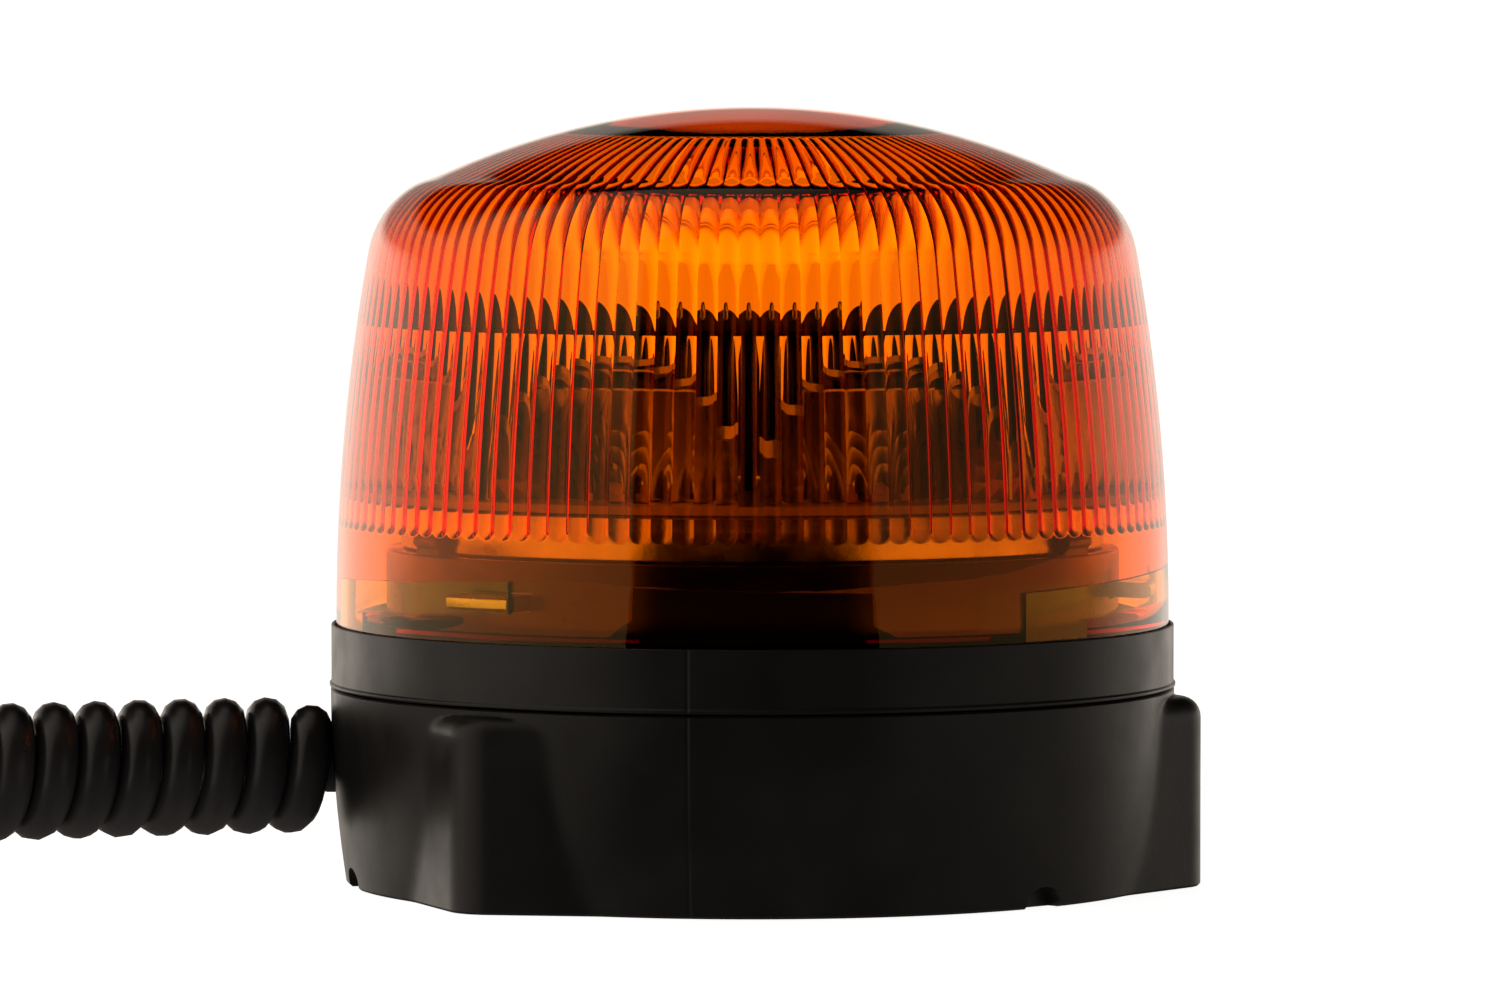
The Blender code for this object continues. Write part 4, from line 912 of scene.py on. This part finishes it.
def make_plug():
    lie = Matrix.Translation(PLUG_REAR * MM) @ LEAD_AXIS
    relief = [(0, 24.0), (6.6, 24.0, 0.4), (6.8, 20.0, 0.5), (6.2, 18.6, 0.3), (6.3, 15.0, 0.4),
              (5.6, 13.8, 0.3), (5.7, 10.0, 0.4), (5.0, 8.8, 0.3), (4.6, 0.0, 0.4), (0, 0)]
    grip = [(0, 40.0), (6.5, 40.0), (6.5, 84.0), (10.4, 84.0, 0.5), (10.4, 58.5, 0.6),
            (11.0, 57.0, 0.8), (12.0, 54.0, 1.6), (11.5, 47.0, 5.0), (12.0, 40.0, 6.0),
            (11.6, 30.0, 2.5), (8.8, 24.3, 0.8), (0, 24.3)]
    cap = [(7.6, 92.0, 0.3), (9.4, 89.0, 0.8), (10.2, 84.3, 0.3), (5.4, 84.3), (3.3, 86.8),
           (3.3, 92.0, 0.2)]
    pin = [(0, 97.0), (1.8, 96.6, 0.4), (3.0, 95.0, 0.6), (3.0, 84.0), (4.6, 83.8), (4.6, 82.0),
           (0, 82.0)]
    body = turned("grip", grip, 96, False)
    body = tidy(carve(body, slab([(-2.7, -20), (2.7, -20), (2.7, 20), (-2.7, 20)], 59.5, 76.5)), 30.0)
    made = [show("grip", moved(body, lie), HOUSING_BLACK, "lamp", "black_housing", "plug_body"),
            show("relief", moved(turned("relief", relief, 64, False), lie), RUBBER_BLACK, "lamp",
                 "black_rubber", "plug_relief"),
            show("nose_cap", moved(turned("nose_cap", cap, 96), lie), ZINC, "lamp", "zinc_steel",
                 "plug_cap"),
            show("pin", moved(turned("pin", pin, 64, False), lie), BRIGHT, "plug_tip",
                 "nickel_brass", "plug_pin")]
    kept = ("plug_spring", "plug_fuse", "plug_contact_left", "plug_contact_right")
    return made + [NODES[name] for name in kept]


# ---- camera, light, floor -------------------------------------------------
CAMERA_PLACE = (0.0, -1.36, 0.1295)
CAMERA_TILT = 2.825            # degrees below the level
CAMERA_TURN = 0.045
FOCAL_LENGTH = 200.46
FRONT_LIGHT = 0.3              # the tent's strength
SIDE_LIGHT = 0.6
BACK_LIGHT = 0.9               # added low down behind the lamp
THROUGH_LENS = 2.1             # how much brighter the tent is to what leaves the lens
BACKDROP = 1.4                 # what the camera sees of it
OPENING_HALF_WIDTH = 33.0      # degrees, of the dark opening in front
OPENING_SPRING = 26.0          # where its round head starts, and the head's height
OPENING_RISE = 46.0
FLOOR_GLOW = 0.95


def make_camera():
    data = bpy.data.cameras.new("camera")
    data.sensor_width = 36.0
    data.lens = FOCAL_LENGTH
    data.clip_end = 50.0
    camera = bpy.data.objects.new("camera", data)
    bpy.context.scene.collection.objects.link(camera)
    camera.location = CAMERA_PLACE
    camera.rotation_euler = (pi / 2 - radians(CAMERA_TILT), 0.0, radians(CAMERA_TURN))
    bpy.context.scene.camera = camera


def make_world():
    """A white tent: brighter behind, open in front, with a dark gap below its lit top."""
    world = bpy.data.worlds.new("studio")
    world.use_nodes = True
    tree = world.node_tree
    bpy.context.scene.world = world

    def math(operation, *values, clamp=False):
        made = tree.nodes.new("ShaderNodeMath")
        made.operation = operation
        made.use_clamp = clamp
        for socket, value in zip(made.inputs, values):
            if isinstance(value, (int, float)):
                socket.default_value = value
            else:
                tree.links.new(value, socket)
        return made.outputs[0]

    def between(value, low, high, soft):
        """1 where a value is between low and high, with soft edges."""
        rise = math("DIVIDE", math("SUBTRACT", value, low - soft), 2 * soft, clamp=True)
        fall = math("DIVIDE", math("SUBTRACT", high + soft, value), 2 * soft, clamp=True)
        return math("MULTIPLY", rise, fall)

    where = tree.nodes.new("ShaderNodeTexCoord")
    split = tree.nodes.new("ShaderNodeSeparateXYZ")
    tree.links.new(where.outputs["Generated"], split.inputs[0])
    x, y, z = split.outputs
    lift = math("DEGREES", math("ARCSINE", z))
    ahead = math("DEGREES", math("ABSOLUTE", math("ARCTAN2", x, math("MULTIPLY", y, -1.0))))
    lean = math("DIVIDE", math("SUBTRACT", lift, OPENING_SPRING), OPENING_RISE, clamp=True)
    head = math("SQRT", math("SUBTRACT", 1.0, math("POWER", lean, 2.0)))
    width = math("MULTIPLY", OPENING_HALF_WIDTH, head)
    opening = math("DIVIDE", math("ADD", math("SUBTRACT", width, ahead), 0.4), 0.8, clamp=True)
    behind = between(ahead, 115.0, 200.0, 10.0)
    gap = math("MULTIPLY", between(lift, 22.0, 58.0, 2.0), behind)
    lit = math("MULTIPLY", math("SUBTRACT", 1.0, opening), math("SUBTRACT", 1.0, gap))
    sides = math("ADD", FRONT_LIGHT, math("MULTIPLY", SIDE_LIGHT - FRONT_LIGHT,
                 math("DIVIDE", math("SUBTRACT", ahead, 40.0), 60.0, clamp=True)))
    sides = math("MULTIPLY", sides, math("ADD", 1.0, math("MULTIPLY", x, -0.5)))
    right_high = math("MULTIPLY", between(lift, 18.0, 95.0, 8.0), between(x, 0.1, 2.0, 0.1))
    sides = math("MULTIPLY", sides, math("SUBTRACT", 1.0, math("MULTIPLY", right_high, 0.85)))
    haze = math("MULTIPLY", between(lift, 8.0, 95.0, 2.0), behind)
    sides = math("MULTIPLY", sides, math("SUBTRACT", 1.0, math("MULTIPLY", haze, 0.4)))
    under = between(lift, -95.0, -14.0, 4.0)
    sides = math("MULTIPLY", sides, math("SUBTRACT", 1.0, math("MULTIPLY", under, 0.85)))
    low = math("MULTIPLY", between(lift, -6.0, 8.0, 2.0), behind)
    dim = math("SUBTRACT", 1.0, math("MULTIPLY", between(ahead, 163.0, 200.0, 6.0), 0.5))
    low = math("MULTIPLY", low, dim)
    level = math("MULTIPLY", lit, math("ADD", sides, math("MULTIPLY", low, BACK_LIGHT)))
    path = tree.nodes.new("ShaderNodeLightPath").outputs
    through = math("MULTIPLY", path["Is Transmission Ray"], THROUGH_LENS - 1.0)
    level = math("MULTIPLY", level, math("ADD", 1.0, through))
    strength = math("MAXIMUM", level, math("MULTIPLY", path["Is Camera Ray"], BACKDROP))
    background = tree.nodes["Background"]
    background.inputs["Color"].default_value = (1.0, 0.9, 0.79, 1.0)
    tree.links.new(strength, background.inputs["Strength"])


def make_card():
    """Dark ground in front, seen only in what the lamp mirrors and through its lens."""
    count = 16
    points = []
    for i in range(count + 1):
        angle = radians(OPENING_HALF_WIDTH * (2 * i / count - 1))
        for r in (0.1, 3.0):
            points.append((r * sin(angle), -r * cos(angle), 0.0004))
    faces = [(2 * i, 2 * i + 2, 2 * i + 3, 2 * i + 1) for i in range(count)]
    mesh = bpy.data.meshes.new("dark_ground")
    mesh.from_pydata(points, [], faces)
    made = bpy.data.objects.new("dark_ground", mesh)
    bpy.context.scene.collection.objects.link(made)
    paint = Paint("card_black", (0.0, 0.0, 0.0), 1.0, Specular_IOR_Level=0.0)
    mesh.materials.append(paint.material)
    made.visible_camera = False
    made.visible_diffuse = False
    made.visible_shadow = False


def make_floor():
    """A white floor that glows, and isn't mirrored in the lamp."""
    mesh = bpy.data.meshes.new("floor")
    shape = bmesh.new()
    bmesh.ops.create_grid(shape, x_segments=1, y_segments=1, size=6.0)
    shape.to_mesh(mesh)
    shape.free()
    floor = bpy.data.objects.new("floor", mesh)
    bpy.context.scene.collection.objects.link(floor)
    floor.location.z = -0.0002
    floor.visible_glossy = False
    paint = Paint("floor_white", (0.9, 0.9, 0.9), 0.6, Emission_Strength=FLOOR_GLOW)
    paint.set("Emission Color", (1.0, 1.0, 1.0, 1.0))
    paint.feed("Normal", paint.bump(paint.noise(30.0, 2.0), 0.0002, 0.2))
    mesh.materials.append(paint.material)


def make_stage():
    make_world()
    make_card()
    bpy.context.scene.view_settings.view_transform = "Standard"
    make_floor()


def paint_nodes():
    """The CAD nodes that are kept wear the materials above, and so do the replaced ones."""
    for name, made in NODES.items():
        for slot in made.material_slots:
            if slot.material and slot.material.name.split(".")[0] in SLOT_PAINT:
                slot.material = SLOT_PAINT[slot.material.name.split(".")[0]]
        if name == "shade_disc":
            made.material_slots[0].material = DISC_BLACK


make_camera()
make_stage()
make_lens()
make_foot()
make_collar()
make_carrier()
make_light_unit()
make_small_pieces()
make_cord(make_plug())
paint_nodes()
